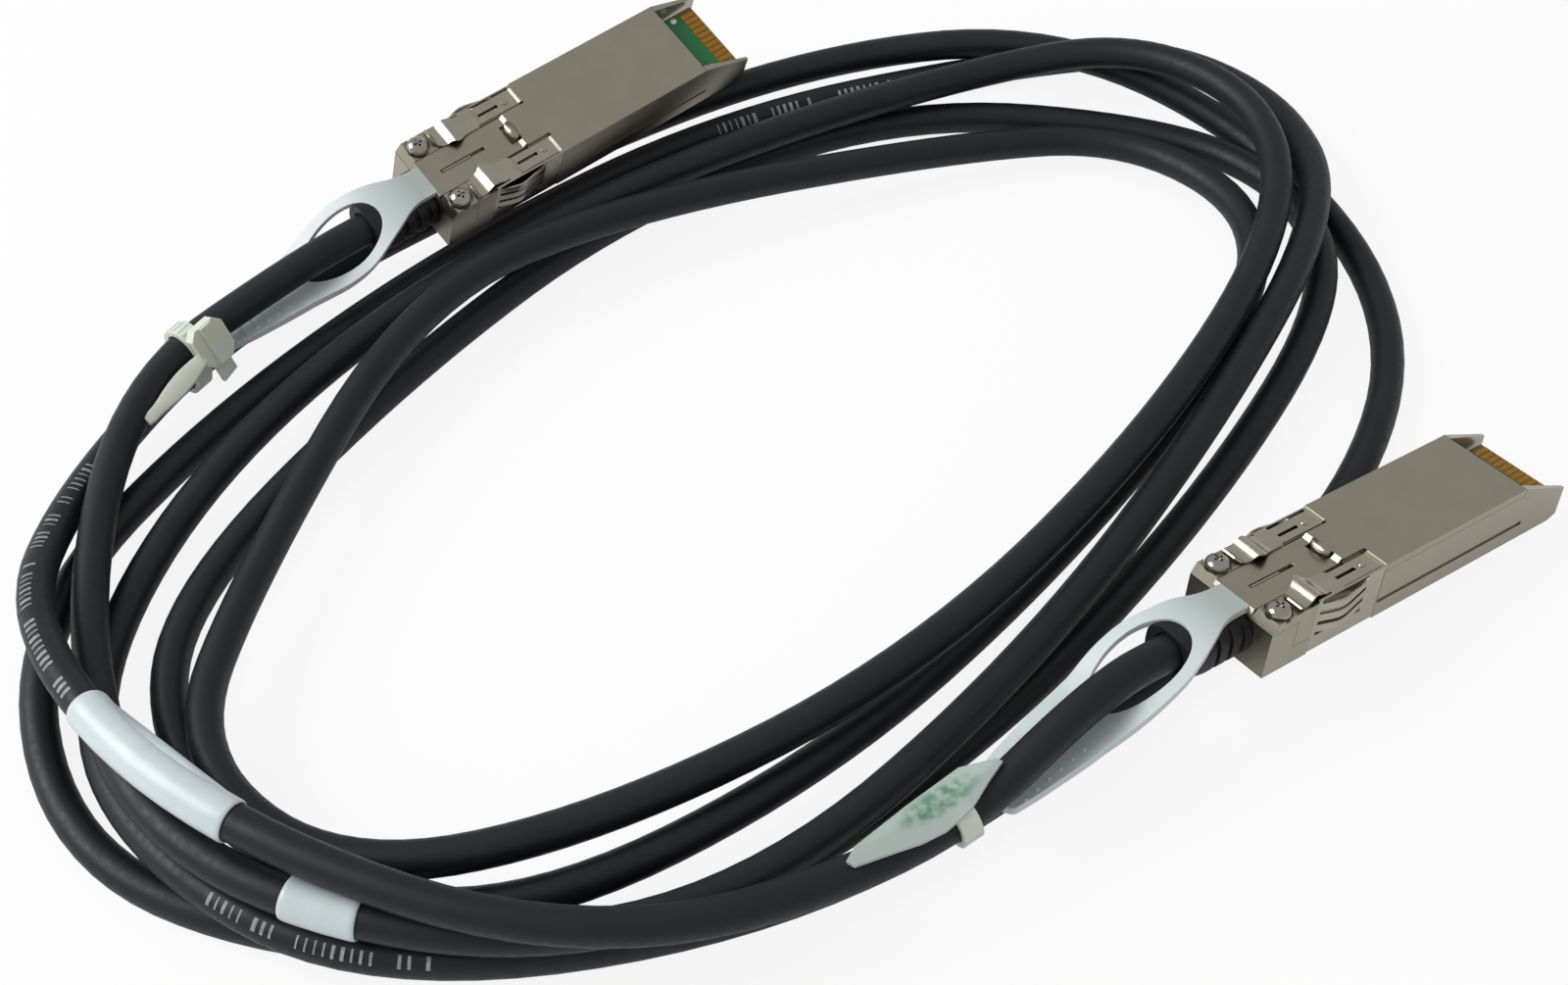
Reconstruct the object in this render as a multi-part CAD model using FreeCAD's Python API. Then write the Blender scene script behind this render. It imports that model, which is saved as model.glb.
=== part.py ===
import FreeCAD, Part
import math
import os

# Passive direct attach copper cable: a round twin-axial cable with a pluggable module on each
# end, loosely wound and tied. Millimetres. The floor is z = 0.
# A module is built in its own frame: x runs from its rear face to its nose, y to its left and
# z up through its latch face. MODULE_POSES then lays both modules where they rest.

V = FreeCAD.Vector

# ---- module housing ------------------------------------------------------------------------
BODY_WIDTH = 13.6          # plug width, the width of the port that it enters
BODY_HEIGHT = 8.6          # plug height over the smooth cover
SHELL_LENGTH = 46.8        # rear face to the front edge of the cover
EAR_LENGTH = 9.2           # side ears beyond the cover, past the card edge
EAR_TIP_LOW = 0.6
EAR_TIP_DROP = 3.6
WALL = 0.95                # side wall
FLOOR = 1.0
REAR_WALL = 1.5
SEAM_GAP = 0.06            # parting gap between the two castings
REAR_SEAM_X = 4.6          # the parting line steps down here
REAR_SEAM_DROP = 1.9
MID_SEAM_Z = 2.7
FRONT_SEAM_X = 19.9        # and back up here, where the smooth cover begins
FRONT_SEAM_DROP = 1.1
PLATE = 0.7                # deck plate thickness
DECK_DROP = 1.05           # slider channel below the smooth cover
LAND_DROP = 0.4            # side lands, under the collar strips and the screws
REAR_CHAMFER = 0.8
TONGUE_X = 16.0            # the cover reaches back to here between the collar strips
FLOOR_END = 49.5           # the floor stops here, between the ears
RAIL_DEPTH = 0.9           # card rails along the inner walls
GROOVE_DEPTH = 0.25        # long shallow groove on each side wall
GROOVE_Z = 2.3
GROOVE_HEIGHT = 0.6
GROOVE_END_MARGIN = 1.2

# ---- card ----------------------------------------------------------------------------------
CARD_THICKNESS = 1.0
CARD_SIDE_GAP = 0.15
CARD_REAR = 24.0
CARD_FRONT = 54.9
CARD_BEVEL = 0.35
PAD_COUNT = 10
PAD_PITCH = 1.0
PAD_WIDTH = 0.72
PAD_LENGTH = 3.4
PAD_THICKNESS = 0.06
PAD_EDGE_MARGIN = 0.5
CHIP_SIZE = V(2.9, 2.0, 0.75)
CHIP_X = 33.5

# ---- cable end inside the module -----------------------------------------------------------
CABLE_DIAMETER = 4.6
CABLE_DROP = 0.2             # cable axis below the middle of the module
HOSE_SIDES = 8             # flats round the jacket, their corners on its diameter
JACKET_INSIDE = 6.2        # jacket length inside the shell
PAIR_WIDTH = 2.2           # one twin-axial pair, foil over two cores
PAIR_HEIGHT = 0.95
PAIR_LAP = 3.0             # pair length on the card
FERRULE_WALL = 0.25
FERRULE_LENGTH = 3.3
FIT_GAP = 0.05             # moulded or crimped fit on the jacket

# ---- strain-relief boot --------------------------------------------------------------------
BOOT_LENGTH = 12.5
BOOT_RADIUS = 3.05
BOOT_TIP_RADIUS = 2.7
BOOT_RIBBED = 6.2          # length of the grooved part behind the wall
BOOT_GROOVES = 3
BOOT_GROOVE_PITCH = 1.7
BOOT_GROOVE_WIDTH = 0.7
BOOT_GROOVE_CUT = 0.35
BOOT_NECK_RADIUS = 2.65
BOOT_FLANGE = 1.1
BOOT_MOUTH_GAP = 0.2       # room for the cable to bend in the boot's plain rear half

# ---- latch ---------------------------------------------------------------------------------
TRAVEL = 2.4               # stroke of the pull tab
SLIDER_THICKNESS = 0.6
SLIDER_HALF = 3.2
SLIDER_LIFT = 0.05         # running clearance on the deck
SLOT_START = 2.9
SLOT_END = 10.5
SLOT_HALF = 0.28
RIB_HALF = 0.16
POST_X = 15.3
POST_WIDTH = 2.4
POST_LENGTH = 1.0
POST_HEIGHT = 0.55         # above the smooth cover
FORK_HALF = 1.6
RAMP_HEIGHT = 0.35
LUG_LENGTH = 0.6           # lug under the slider that presses the return spring
LUG_HALF = 0.8
LUG_X = 12.9
LUG_REACH = 0.95
SPRING_RADIUS = 0.4
SPRING_WIRE = 0.1          # wire radius
SPRING_TURNS = 3.5
SPRING_CLEAR = 0.08
STOP_X = 6.5               # wall under the deck at the other end of the spring
STOP_LENGTH = 0.6

# ---- spring collar -------------------------------------------------------------------------
SHEET = 0.25
COLLAR_RECESS = 0.3        # the castings are this much smaller under the collar
COLLAR_REAR = 7.8
COLLAR_FRONT = 19.6
STRIP_INNER = 3.05         # inner edge of each top strip
HOOK_RISE = 0.75
HOOK_REACH = 3.3
HOOK_STEPS = 3
FINGER_REAR = 8.5
FINGER_FRONT = 16.7
FINGER_CREST = 11.2
FINGER_BOW = 0.9
SIDE_FINGERS = 3
FINGER_SLOT = 0.35
FINGERS_LOW = 2.9
FINGER_TOP_DROP = 0.54      # the top slot lies this far below the smooth cover
FLOOR_FINGERS = 4
FLOOR_BOW = 0.6
TOP_FINGER_START = 12.4
TOP_FINGER_SINK = 0.14
TOP_SLOT_LENGTH = 3.5
TOP_SLOT_WIDTH = 0.4
DIMPLE_X = 17.5
DIMPLE_RADIUS = 0.45

# ---- screws --------------------------------------------------------------------------------
SCREW_X = 2.5
SCREW_Y = 5.05
SCREW_HEAD_RADIUS = 1.25
SCREW_HEAD_HEIGHT = 0.8
SCREW_SHANK_RADIUS = 0.55
SCREW_LENGTH = 4.6
BOSS_HALF = 1.15           # half width of the square corner post under each screw
BORE_GAP = 0.05

# ---- pull tab ------------------------------------------------------------------------------
TAB_THICKNESS = 0.9
NECK_HALF = 4.2
NECK_LENGTH = 2.6
NECK_THICKNESS = 1.2
NECK_GAP = 0.3             # free space behind the module at rest
RING_OUTER_HALF = 7.0
RING_INNER_HALF = 5.0
RING_START = -4.2          # front edge of the hole
RING_END = -21.0           # rear edge of the hole
PADDLE_END = -36.0
PADDLE_HALF = 6.8
TAB_RIBS = 5
TAB_RIB_PITCH = 2.2
TAB_RIB_WIDTH = 0.7
TAB_RIB_HEIGHT = 0.3

# ---- sleeves and ties on the cable -----------------------------------------------------------
SLEEVE_RADIUS = 3.05
LENGTH_SLEEVE = (2460.0, 2488.0)   # where each sleeve starts and ends, along the cable
MARKER_SLEEVE = (143.0, 155.0)
LEFT_TIE = 46.5
LEFT_TIE_LOWER = (2370, 2410)      # the left tie's second strand passes it within this stretch
RIGHT_TIE = 2573.0
STRAP_WIDTH = 2.8
STRAP_THICKNESS = 0.8
STRAP_GAP = 0.25
HEAD_LENGTH = 5.0
HEAD_WIDTH = 6.0
HEAD_THICKNESS = 1.7
HEAD_TILT = 48.0
TAIL_THICKNESS = 0.9
TAIL_LIFT = 13.0           # the left tail leans out from the strands as they bend under it
FLAG_SLOPE = -10.0

# Position of each module's rear lower edge, and its turn about z, y and x. The nose of the
# right one points down over the strand that it lies on; the left one leans on the strands.
MODULE_POSES = {
    "left": (V(-61.85, 31.4, 9.1), (42.0, 0.0, 19.0)),
    "right": (V(43.65, -46.3, 9.65), (36.0, 9.3, -7.0)),
}

# The cable's route from the left module to the right one: five loose turns and the crossings
# at their ends. A straight lead of CABLE_LEAD behind each module comes before and after it.
CABLE_LEAD = 21.0
ROUTE = [
    (-97.5, -2, 8.9), (-97, -40.5, 7.9), (-82, -75.5, 12.8), (-46, -89, 11.9),
    (-12.5, -81.5, 9.5), (20.5, -47.5, 7.8), (48.5, -7.5, 9.4), (69.5, 31.5, 10.6),
    (67.5, 59, 5.5), (50.5, 76, 2.9), (25.5, 73, 2.3), (-18, 58.5, 3.3),
    (-56.5, 30, 3.2), (-87, -2.5, 2), (-104.5, -38.5, 4.6), (-94.5, -70.5, 2.4),
    (-65.5, -83.5, 2.4), (-22.5, -82.5, 2.4), (15, -55.5, 2.9), (46.5, -18, 2.4),
    (69, 18, 5.4), (67, 40.5, 5), (50, 56.5, 2.8), (8, 61.5, 3),
    (-33, 39.5, 2.7), (-63, 4.5, 3.2), (-86, -34, 4), (-84, -58, 5.1),
    (-65, -76.5, 4.7), (-39.5, -82.5, 7), (-5, -61, 4.8), (24.5, -28.5, 1.5),
    (52.5, 6.5, 6.6), (61, 33, 7), (43.5, 54, 4), (16, 50.5, 4.7),
    (-31.5, 33, 9.1), (-60.5, 13, 10.8), (-77, -34.5, 7.1), (-80, -61.5, 9.1),
    (-60, -79.5, 11.6), (-31, -72.5, 10.4), (7, -49.5, 10.2), (39.5, -12.5, 11.1),
    (61.5, 25.5, 11.6), (62.5, 50, 13.3), (45, 66.5, 11.7), (20.5, 65, 7.7),
    (-19.5, 46.5, 8), (-60, 19.5, 6.6), (-87, -14.5, 4.5), (-96, -50.5, 3.9),
    (-82, -75, 7.3), (-53.5, -90, 7.3), (-7, -80, 4.4), (29, -54, 2.4),
    (65, -20.5, 2.4), (79.5, 16.5, 2.4), (64.5, 54, 3.3), (32.5, 73.5, 8.2),
    (-6.5, 71.5, 4.3), (-45.5, 47.5, 4.7), (-88, 15.5, 2.9), (-103.5, -18, 4.5),
    (-101, -48, 15.1), (-74.5, -76, 17.9), (-30.5, -91.5, 15.7), (7.5, -76, 11),
]

# Height of the tab's centre sheet at the hole's rear edge and at the paddle's end.
TAB_BENDS = {"left": (-1.0, -3.0), "right": (-3.5, -8.6)}


def box(x0, x1, y0, y1, z0, z1):
    return Part.makeBox(x1 - x0, y1 - y0, z1 - z0, V(x0, y0, z0))


def centred(x0, x1, half, z0, z1):
    return box(x0, x1, -half, half, z0, z1)


def across(points, y0, y1):
    """Outline in x and z, given its thickness from y0 to y1."""
    loop = [V(x, y0, z) for x, z in points]
    face = Part.Face(Part.makePolygon(loop + loop[:1]))
    return face.extrude(V(0, y1 - y0, 0))


def upright(points, z0, z1):
    """Outline in x and y, raised from z0 to z1."""
    loop = [V(x, y, z0) for x, y in points]
    face = Part.Face(Part.makePolygon(loop + loop[:1]))
    return face.extrude(V(0, 0, z1 - z0))


def rod(radius, x0, x1, y=0.0, z=0.0):
    return Part.makeCylinder(radius, x1 - x0, V(x0, y, z), V(1, 0, 0))


def both_sides(shape):
    return shape.fuse(shape.mirror(V(0, 0, 0), V(0, 1, 0)))


def ribbon(path, thickness):
    """Closed outline of a bent sheet whose middle follows the path."""
    left, right = [], []
    for i, (a, b) in enumerate(path):
        before = path[max(i - 1, 0)]
        after = path[min(i + 1, len(path) - 1)]
        d0 = V(a - before[0], b - before[1], 0) if i else V(after[0] - a, after[1] - b, 0)
        d1 = V(after[0] - a, after[1] - b, 0) if i < len(path) - 1 else d0
        d0.normalize()
        d1.normalize()
        turn = d0 + d1
        turn.normalize()
        reach = thickness / 2 / max(turn.dot(d0), 0.5)
        left.append((a - turn.y * reach, b + turn.x * reach))
        right.append((a + turn.y * reach, b - turn.x * reach))
    return left + right[::-1]


def eased(corners, share=0.3, steps=4):
    """The same path with each inner corner rounded by a short curve."""
    path = [corners[0]]
    for before, corner, after in zip(corners, corners[1:], corners[2:]):
        start = [c + (b - c) * share for b, c in zip(before, corner)]
        end = [c + (a - c) * share for a, c in zip(after, corner)]
        for k in range(steps + 1):
            t = k / steps
            path.append(tuple(
                (1 - t) ** 2 * s + 2 * t * (1 - t) * c + t * t * e
                for s, c, e in zip(start, corner, end)
            ))
    return path + [corners[-1]]


# ---- heights and widths that several pieces share --------------------------------------------
HALF = BODY_WIDTH / 2
INNER = HALF - WALL
EAR_TIP = SHELL_LENGTH + EAR_LENGTH
EAR_TIP_HIGH = BODY_HEIGHT - EAR_TIP_DROP
REAR_SEAM_Z = BODY_HEIGHT - REAR_SEAM_DROP
FRONT_SEAM_Z = BODY_HEIGHT - FRONT_SEAM_DROP
CABLE_AXIS_Z = BODY_HEIGHT / 2 - CABLE_DROP
CARD_UNDERSIDE = CABLE_AXIS_Z - CARD_THICKNESS / 2
DECK_Z = BODY_HEIGHT - DECK_DROP
LAND_Z = BODY_HEIGHT - LAND_DROP
DECK_UNDER = DECK_Z - PLATE
LUG_LOW = DECK_UNDER - LUG_REACH
FINGER_PITCH = (BODY_HEIGHT - FINGERS_LOW - FINGER_TOP_DROP) / SIDE_FINGERS
CARD_TOP = CARD_UNDERSIDE + CARD_THICKNESS
CARD_HALF = INNER - CARD_SIDE_GAP
CHANNEL_HALF = SLIDER_HALF + 0.1
SLIDER_LOW = DECK_Z + SLIDER_LIFT
SLIDER_TOP = SLIDER_LOW + SLIDER_THICKNESS
STRIP_LOW = LAND_Z + 0.05
STRIP_TOP = STRIP_LOW + SHEET
TONGUE_HALF = STRIP_INNER - 0.05
COLLAR_HALF = HALF - COLLAR_RECESS + 0.02 + SHEET
COLLAR_LOW = COLLAR_RECESS - 0.02 - SHEET
JACKET_RADIUS = CABLE_DIAMETER / 2
SCREW_BORE = SCREW_SHANK_RADIUS + BORE_GAP
LUG_END = LUG_X + LUG_LENGTH
STOP_END = STOP_X + STOP_LENGTH
SPRING_Z = DECK_UNDER - 0.1 - SPRING_RADIUS - SPRING_WIRE


def collar_recess():
    """What both castings lose where the collar wraps them."""
    outer = centred(COLLAR_REAR, COLLAR_FRONT + 0.1, HALF + 1, -1, BODY_HEIGHT)
    return outer.cut(centred(0, SHELL_LENGTH, HALF - COLLAR_RECESS, COLLAR_RECESS, BODY_HEIGHT + 1))


def base_shell():
    """Lower casting: floor, rear wall with the boot's seat, side walls and tapered ears."""
    outline = [
        (0, 0),
        (EAR_TIP - 1.5, 0),
        (EAR_TIP, EAR_TIP_LOW),
        (EAR_TIP, EAR_TIP_HIGH),
        (SHELL_LENGTH + SEAM_GAP, BODY_HEIGHT),
        (SHELL_LENGTH + SEAM_GAP, FRONT_SEAM_Z),
        (FRONT_SEAM_X, FRONT_SEAM_Z),
        (FRONT_SEAM_X, MID_SEAM_Z),
        (REAR_SEAM_X, MID_SEAM_Z),
        (REAR_SEAM_X, REAR_SEAM_Z),
        (0, REAR_SEAM_Z),
    ]
    shell = across(outline, -HALF, HALF)
    shell = shell.cut(centred(REAR_WALL, EAR_TIP + 1, INNER, FLOOR, BODY_HEIGHT + 1))
    shell = shell.cut(centred(FLOOR_END, EAR_TIP + 1, INNER, -1, FLOOR + 1))
    ear_taper = upright(
        [(SHELL_LENGTH, INNER - 0.1), (SHELL_LENGTH, INNER), (EAR_TIP, HALF - 0.45),
         (EAR_TIP + 1, HALF - 0.45), (EAR_TIP + 1, INNER - 0.1)],
        -1, BODY_HEIGHT + 1)
    groove = box(FRONT_SEAM_X, SHELL_LENGTH + GROOVE_END_MARGIN, HALF - GROOVE_DEPTH, HALF + 1,
                 GROOVE_Z, GROOVE_Z + GROOVE_HEIGHT)
    shell = shell.cut(both_sides(ear_taper)).cut(both_sides(groove)).cut(collar_recess())
    rail = box(CARD_REAR, FLOOR_END - 1, INNER - RAIL_DEPTH, INNER, FLOOR, CARD_UNDERSIDE - 0.03)
    boss = box(REAR_WALL - 0.1, SCREW_X + BOSS_HALF, SCREW_Y - BOSS_HALF, INNER + 0.1, FLOOR - 0.1,
               REAR_SEAM_Z)
    bore = Part.makeCylinder(SCREW_BORE, BODY_HEIGHT, V(SCREW_X, SCREW_Y, LAND_Z - SCREW_LENGTH - 0.2))
    shell = shell.fuse(both_sides(rail)).fuse(both_sides(boss)).cut(both_sides(bore))
    seat_radius = BOOT_NECK_RADIUS + FIT_GAP
    seat = rod(seat_radius, -1, REAR_WALL + 1, 0, CABLE_AXIS_Z)
    seat = seat.fuse(centred(-1, REAR_WALL + 1, seat_radius, CABLE_AXIS_Z, BODY_HEIGHT))
    return shell.cut(seat).removeSplitter()


def top_cover():
    """Upper casting: smooth cover, lower latch deck, guide rib, latch post and skirts."""
    g = SEAM_GAP
    outline = [
        (0, REAR_SEAM_Z + g),
        (REAR_SEAM_X + g, REAR_SEAM_Z + g),
        (REAR_SEAM_X + g, MID_SEAM_Z + g),
        (FRONT_SEAM_X - g, MID_SEAM_Z + g),
        (FRONT_SEAM_X - g, FRONT_SEAM_Z + g),
        (SHELL_LENGTH, FRONT_SEAM_Z + g),
        (SHELL_LENGTH, BODY_HEIGHT),
        (0, BODY_HEIGHT),
    ]
    cover = across(outline, -HALF, HALF)
    cover = cover.cut(centred(-1, FRONT_SEAM_X + 1, INNER, -1, DECK_UNDER))
    cover = cover.cut(centred(-1, FRONT_SEAM_X, HALF + 1, LAND_Z, BODY_HEIGHT + 1).cut(
        centred(TONGUE_X, FRONT_SEAM_X + 1, TONGUE_HALF, 0, BODY_HEIGHT + 2)))
    cover = cover.cut(centred(-1, TONGUE_X, CHANNEL_HALF, DECK_Z, BODY_HEIGHT + 1))
    pocket = box(TOP_FINGER_START - 0.1, FRONT_SEAM_X, TONGUE_HALF, HALF + 1,
                 LAND_Z - TOP_FINGER_SINK - 0.06, BODY_HEIGHT)
    rear_bevel = across([(-1, LAND_Z + 1), (-1, LAND_Z - REAR_CHAMFER - 1),
                         (0, LAND_Z - REAR_CHAMFER), (REAR_CHAMFER, LAND_Z),
                         (REAR_CHAMFER, LAND_Z + 1)], -HALF - 1, HALF + 1)
    cover = cover.cut(both_sides(pocket)).cut(rear_bevel).cut(collar_recess())
    lug_window = centred(LUG_X - TRAVEL - 0.1, LUG_END + 0.1, LUG_HALF + 0.1, 0, BODY_HEIGHT)
    bore = Part.makeCylinder(SCREW_BORE, BODY_HEIGHT, V(SCREW_X, SCREW_Y, 0))
    cover = cover.cut(lug_window).cut(both_sides(bore))
    guide_rib = centred(SLOT_START + 0.2, SLOT_END - TRAVEL - 0.1, RIB_HALF, DECK_UNDER, SLIDER_TOP - 0.1)
    spring_stop = centred(STOP_X, STOP_END, LUG_HALF + 0.4, LUG_LOW - 0.1, DECK_Z)
    clamp = box(CARD_REAR + 3, CARD_REAR + 7, INNER - RAIL_DEPTH - 0.1, INNER - 0.1,
                CARD_TOP + 0.05, BODY_HEIGHT - 0.2)
    bulge = (POST_WIDTH ** 2 / 4 + POST_LENGTH ** 2 / 4) / POST_LENGTH
    height = BODY_HEIGHT + POST_HEIGHT - DECK_UNDER
    post = Part.makeCylinder(bulge, height, V(POST_X - bulge + POST_LENGTH / 2, 0, DECK_UNDER))
    post = post.common(
        Part.makeCylinder(bulge, height, V(POST_X + bulge - POST_LENGTH / 2, 0, DECK_UNDER)))
    for piece in (guide_rib, spring_stop, both_sides(clamp), post):
        cover = cover.fuse(piece)
    return cover.removeSplitter()


def latch_slider():
    """Flat plate that the tab pulls: guide slot, fork round the post, ramps and spring lug."""
    front = TONGUE_X - 0.1
    rear = -NECK_GAP - NECK_LENGTH + 0.6
    fork = POST_X - POST_LENGTH / 2 - 0.35
    shoulder = TOP_FINGER_START - 0.3
    outline = [(rear, SLIDER_HALF - 0.6), (rear + 0.8, SLIDER_HALF), (shoulder, SLIDER_HALF),
               (shoulder, TONGUE_HALF), (front, TONGUE_HALF), (front, FORK_HALF), (fork, FORK_HALF)]
    outline += [(x, -y) for x, y in reversed(outline)]
    plate = upright(outline, SLIDER_LOW, SLIDER_TOP)
    slot = centred(SLOT_START, SLOT_END, SLOT_HALF, 0, BODY_HEIGHT)
    ramp = across([(fork, SLIDER_TOP - 0.1), (fork, SLIDER_TOP), (front - 0.4, SLIDER_TOP + RAMP_HEIGHT),
                   (front, SLIDER_TOP + RAMP_HEIGHT), (front, SLIDER_TOP - 0.1)],
                  FORK_HALF, TONGUE_HALF - 0.15)
    lug = centred(LUG_X, LUG_END, LUG_HALF, LUG_LOW, SLIDER_TOP - 0.1)
    return plate.cut(slot).fuse(both_sides(ramp)).fuse(lug).removeSplitter()


def return_spring():
    """Small coil between the cover's stop and the slider's lug."""
    start = STOP_END + SPRING_CLEAR + SPRING_WIRE
    length = LUG_X - SPRING_CLEAR - SPRING_WIRE - start
    coil = Part.makeHelix(length / SPRING_TURNS, length, SPRING_RADIUS)
    corners = [V(SPRING_RADIUS + a * SPRING_WIRE, 0, b * SPRING_WIRE)
               for a, b in ((-1, -1), (1, -1), (1, 1), (-1, 1), (-1, -1))]
    section = Part.makePolygon(corners)
    spring = Part.Wire(coil).makePipeShell([section], True, True)
    spring.Placement = FreeCAD.Placement(V(start, 0, SPRING_Z), FreeCAD.Rotation(V(0, 1, 0), 90))
    return spring


def bow(start, crest, end, rise, steps=2):
    """Middle line of a sprung finger, raised smoothly to its crest and down again."""
    path = []
    for k in range(steps):
        t = k / steps
        path.append((start + (crest - start) * t, rise * (1 - math.cos(math.pi * t)) / 2))
    for k in range(steps + 1):
        t = k / steps
        path.append((crest + (end - crest) * t, rise * (1 + math.cos(math.pi * t)) / 2))
    return path


def spring_collar():
    """Folded sheet round the housing, with bowed fingers, top strips and folded hooks."""
    wrap = centred(COLLAR_REAR, COLLAR_FRONT, COLLAR_HALF, COLLAR_LOW, STRIP_TOP)
    wrap = wrap.cut(centred(0, SHELL_LENGTH, COLLAR_HALF - SHEET, COLLAR_LOW + SHEET, STRIP_LOW))
    wrap = wrap.cut(centred(0, SHELL_LENGTH, STRIP_INNER, DECK_Z, BODY_HEIGHT + 1))
    middle = COLLAR_HALF - SHEET / 2
    # bowed fingers in each side wall, with slots between them
    window_low = FINGERS_LOW - FINGER_SLOT / 2
    window_high = FINGERS_LOW + SIDE_FINGERS * FINGER_PITCH + FINGER_SLOT / 2
    window = box(FINGER_REAR, FINGER_FRONT, 0, HALF + 1, window_low, window_high)
    wrap = wrap.cut(both_sides(window))
    arch = bow(FINGER_REAR - 0.1, FINGER_CREST, FINGER_FRONT + 0.1, FINGER_BOW)
    outline = ribbon([(x, middle + y) for x, y in arch], SHEET)
    for k in range(SIDE_FINGERS):
        low = FINGERS_LOW + k * FINGER_PITCH + FINGER_SLOT / 2
        finger = upright(outline, low, low + FINGER_PITCH - FINGER_SLOT)
        wrap = wrap.fuse(both_sides(finger))
    # bowed fingers in the floor
    reach = COLLAR_HALF - 1.4
    pitch = 2 * reach / FLOOR_FINGERS
    wrap = wrap.cut(centred(FINGER_REAR, FINGER_FRONT, reach, -1, COLLAR_LOW + SHEET))
    arch = bow(FINGER_REAR - 0.1, FINGER_CREST, FINGER_FRONT + 0.1, FLOOR_BOW)
    outline = ribbon([(x, COLLAR_LOW + SHEET / 2 - z) for x, z in arch], SHEET)
    for k in range(FLOOR_FINGERS):
        low = -reach + k * pitch + FINGER_SLOT / 2
        wrap = wrap.fuse(across(outline, low, low + pitch - FINGER_SLOT))
    # sunk finger with a slot and a dimple in each top strip
    edge = COLLAR_HALF - SHEET - 0.3
    end = COLLAR_FRONT - 0.9
    sunk = STRIP_LOW + SHEET / 2 - TOP_FINGER_SINK
    level = STRIP_LOW + SHEET / 2
    gap = box(TOP_FINGER_START, end, STRIP_INNER - 1, edge + 0.3, STRIP_LOW - 0.1, STRIP_TOP + 1)
    strip = across(ribbon([(TOP_FINGER_START - 0.1, level), (TOP_FINGER_START + 0.4, sunk),
                           (end - 0.5, sunk), (end + 0.1, level)], SHEET), STRIP_INNER, edge)
    slot_y = (STRIP_INNER + edge) / 2
    slot = box(TOP_FINGER_START + 0.5, TOP_FINGER_START + 0.5 + TOP_SLOT_LENGTH,
               slot_y - TOP_SLOT_WIDTH / 2, slot_y + TOP_SLOT_WIDTH / 2, DECK_Z, BODY_HEIGHT + 1)
    dimple = Part.makeCone(DIMPLE_RADIUS, DIMPLE_RADIUS / 2, SHEET * 0.8 + SHEET / 2,
                           V(DIMPLE_X, slot_y, sunk))
    wrap = wrap.cut(both_sides(gap)).fuse(both_sides(strip.cut(slot).fuse(dimple)))
    # S-folded hook behind each strip
    riser = COLLAR_REAR + 0.1
    fold = [(riser + 0.4, level), (riser, level), (riser, level + HOOK_RISE)]
    for k in range(HOOK_STEPS + 1):
        t = k / HOOK_STEPS
        fold.append((riser - 0.5 - t * (HOOK_REACH - 0.4), level + HOOK_RISE * (1 - t) ** 2))
    hook = across(ribbon(fold, SHEET), STRIP_INNER + 0.4, COLLAR_HALF)
    return wrap.fuse(both_sides(hook)).removeSplitter()


def cover_screws():
    """Two pan-head screws that clamp the cover to the base."""
    dome = SCREW_HEAD_HEIGHT
    head = Part.makeCone(SCREW_HEAD_RADIUS, SCREW_HEAD_RADIUS * 0.62, dome, V(SCREW_X, SCREW_Y, LAND_Z))
    shank = Part.makeCylinder(SCREW_SHANK_RADIUS, SCREW_LENGTH, V(SCREW_X, SCREW_Y, LAND_Z - SCREW_LENGTH))
    screw = head.fuse(shank)
    for long, short in ((0.75, 0.16), (0.16, 0.75)):
        screw = screw.cut(box(SCREW_X - long, SCREW_X + long, SCREW_Y - short, SCREW_Y + short,
                              LAND_Z + dome - 0.35, LAND_Z + dome + 1))
    return Part.makeCompound([screw, screw.mirror(V(0, 0, 0), V(0, 1, 0))])


def paddle_card():
    card = centred(CARD_REAR, CARD_FRONT, CARD_HALF, CARD_UNDERSIDE, CARD_TOP)
    mid = (CARD_UNDERSIDE + CARD_TOP) / 2
    for sign in (-1, 1):
        face = mid + sign * CARD_THICKNESS / 2
        card = card.cut(across([(CARD_FRONT - CARD_BEVEL, face), (CARD_FRONT + 1, face),
                                (CARD_FRONT + 1, face - sign * CARD_BEVEL),
                                (CARD_FRONT, face - sign * CARD_BEVEL)], -HALF, HALF))
    return card


def edge_contacts():
    """Gold pads in a row on each face of the card's front edge."""
    pads = []
    front = CARD_FRONT - PAD_EDGE_MARGIN
    for k in range(PAD_COUNT):
        y = (k - (PAD_COUNT - 1) / 2) * PAD_PITCH
        for low in (CARD_TOP, CARD_UNDERSIDE - PAD_THICKNESS):
            pads.append(box(front - PAD_LENGTH, front, y - PAD_WIDTH / 2, y + PAD_WIDTH / 2,
                            low, low + PAD_THICKNESS))
    return Part.makeCompound(pads)


def memory_chip():
    return box(CHIP_X, CHIP_X + CHIP_SIZE.x, -CHIP_SIZE.y / 2, CHIP_SIZE.y / 2,
               CARD_TOP, CARD_TOP + CHIP_SIZE.z)


def core_pairs():
    """One shielded pair along each face of the card, straight out of the jacket."""
    pairs = []
    for low in (CARD_TOP + 0.03, CARD_UNDERSIDE - 0.03 - PAIR_HEIGHT):
        pair = centred(JACKET_INSIDE, CARD_REAR + PAIR_LAP, PAIR_WIDTH / 2, low, low + PAIR_HEIGHT)
        long_edges = [e for e in pair.Edges if abs(e.tangentAt(e.FirstParameter).x) > 0.9]
        pairs.append(pair.makeChamfer(PAIR_HEIGHT * 0.3, long_edges))
    return Part.makeCompound(pairs)


def crimp_ferrule():
    inner = JACKET_RADIUS + FIT_GAP
    end = JACKET_INSIDE - 0.1
    ring = rod(inner + FERRULE_WALL, end - FERRULE_LENGTH, end, 0, CABLE_AXIS_Z)
    return ring.cut(rod(inner, 0, SHELL_LENGTH, 0, CABLE_AXIS_Z))


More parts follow.
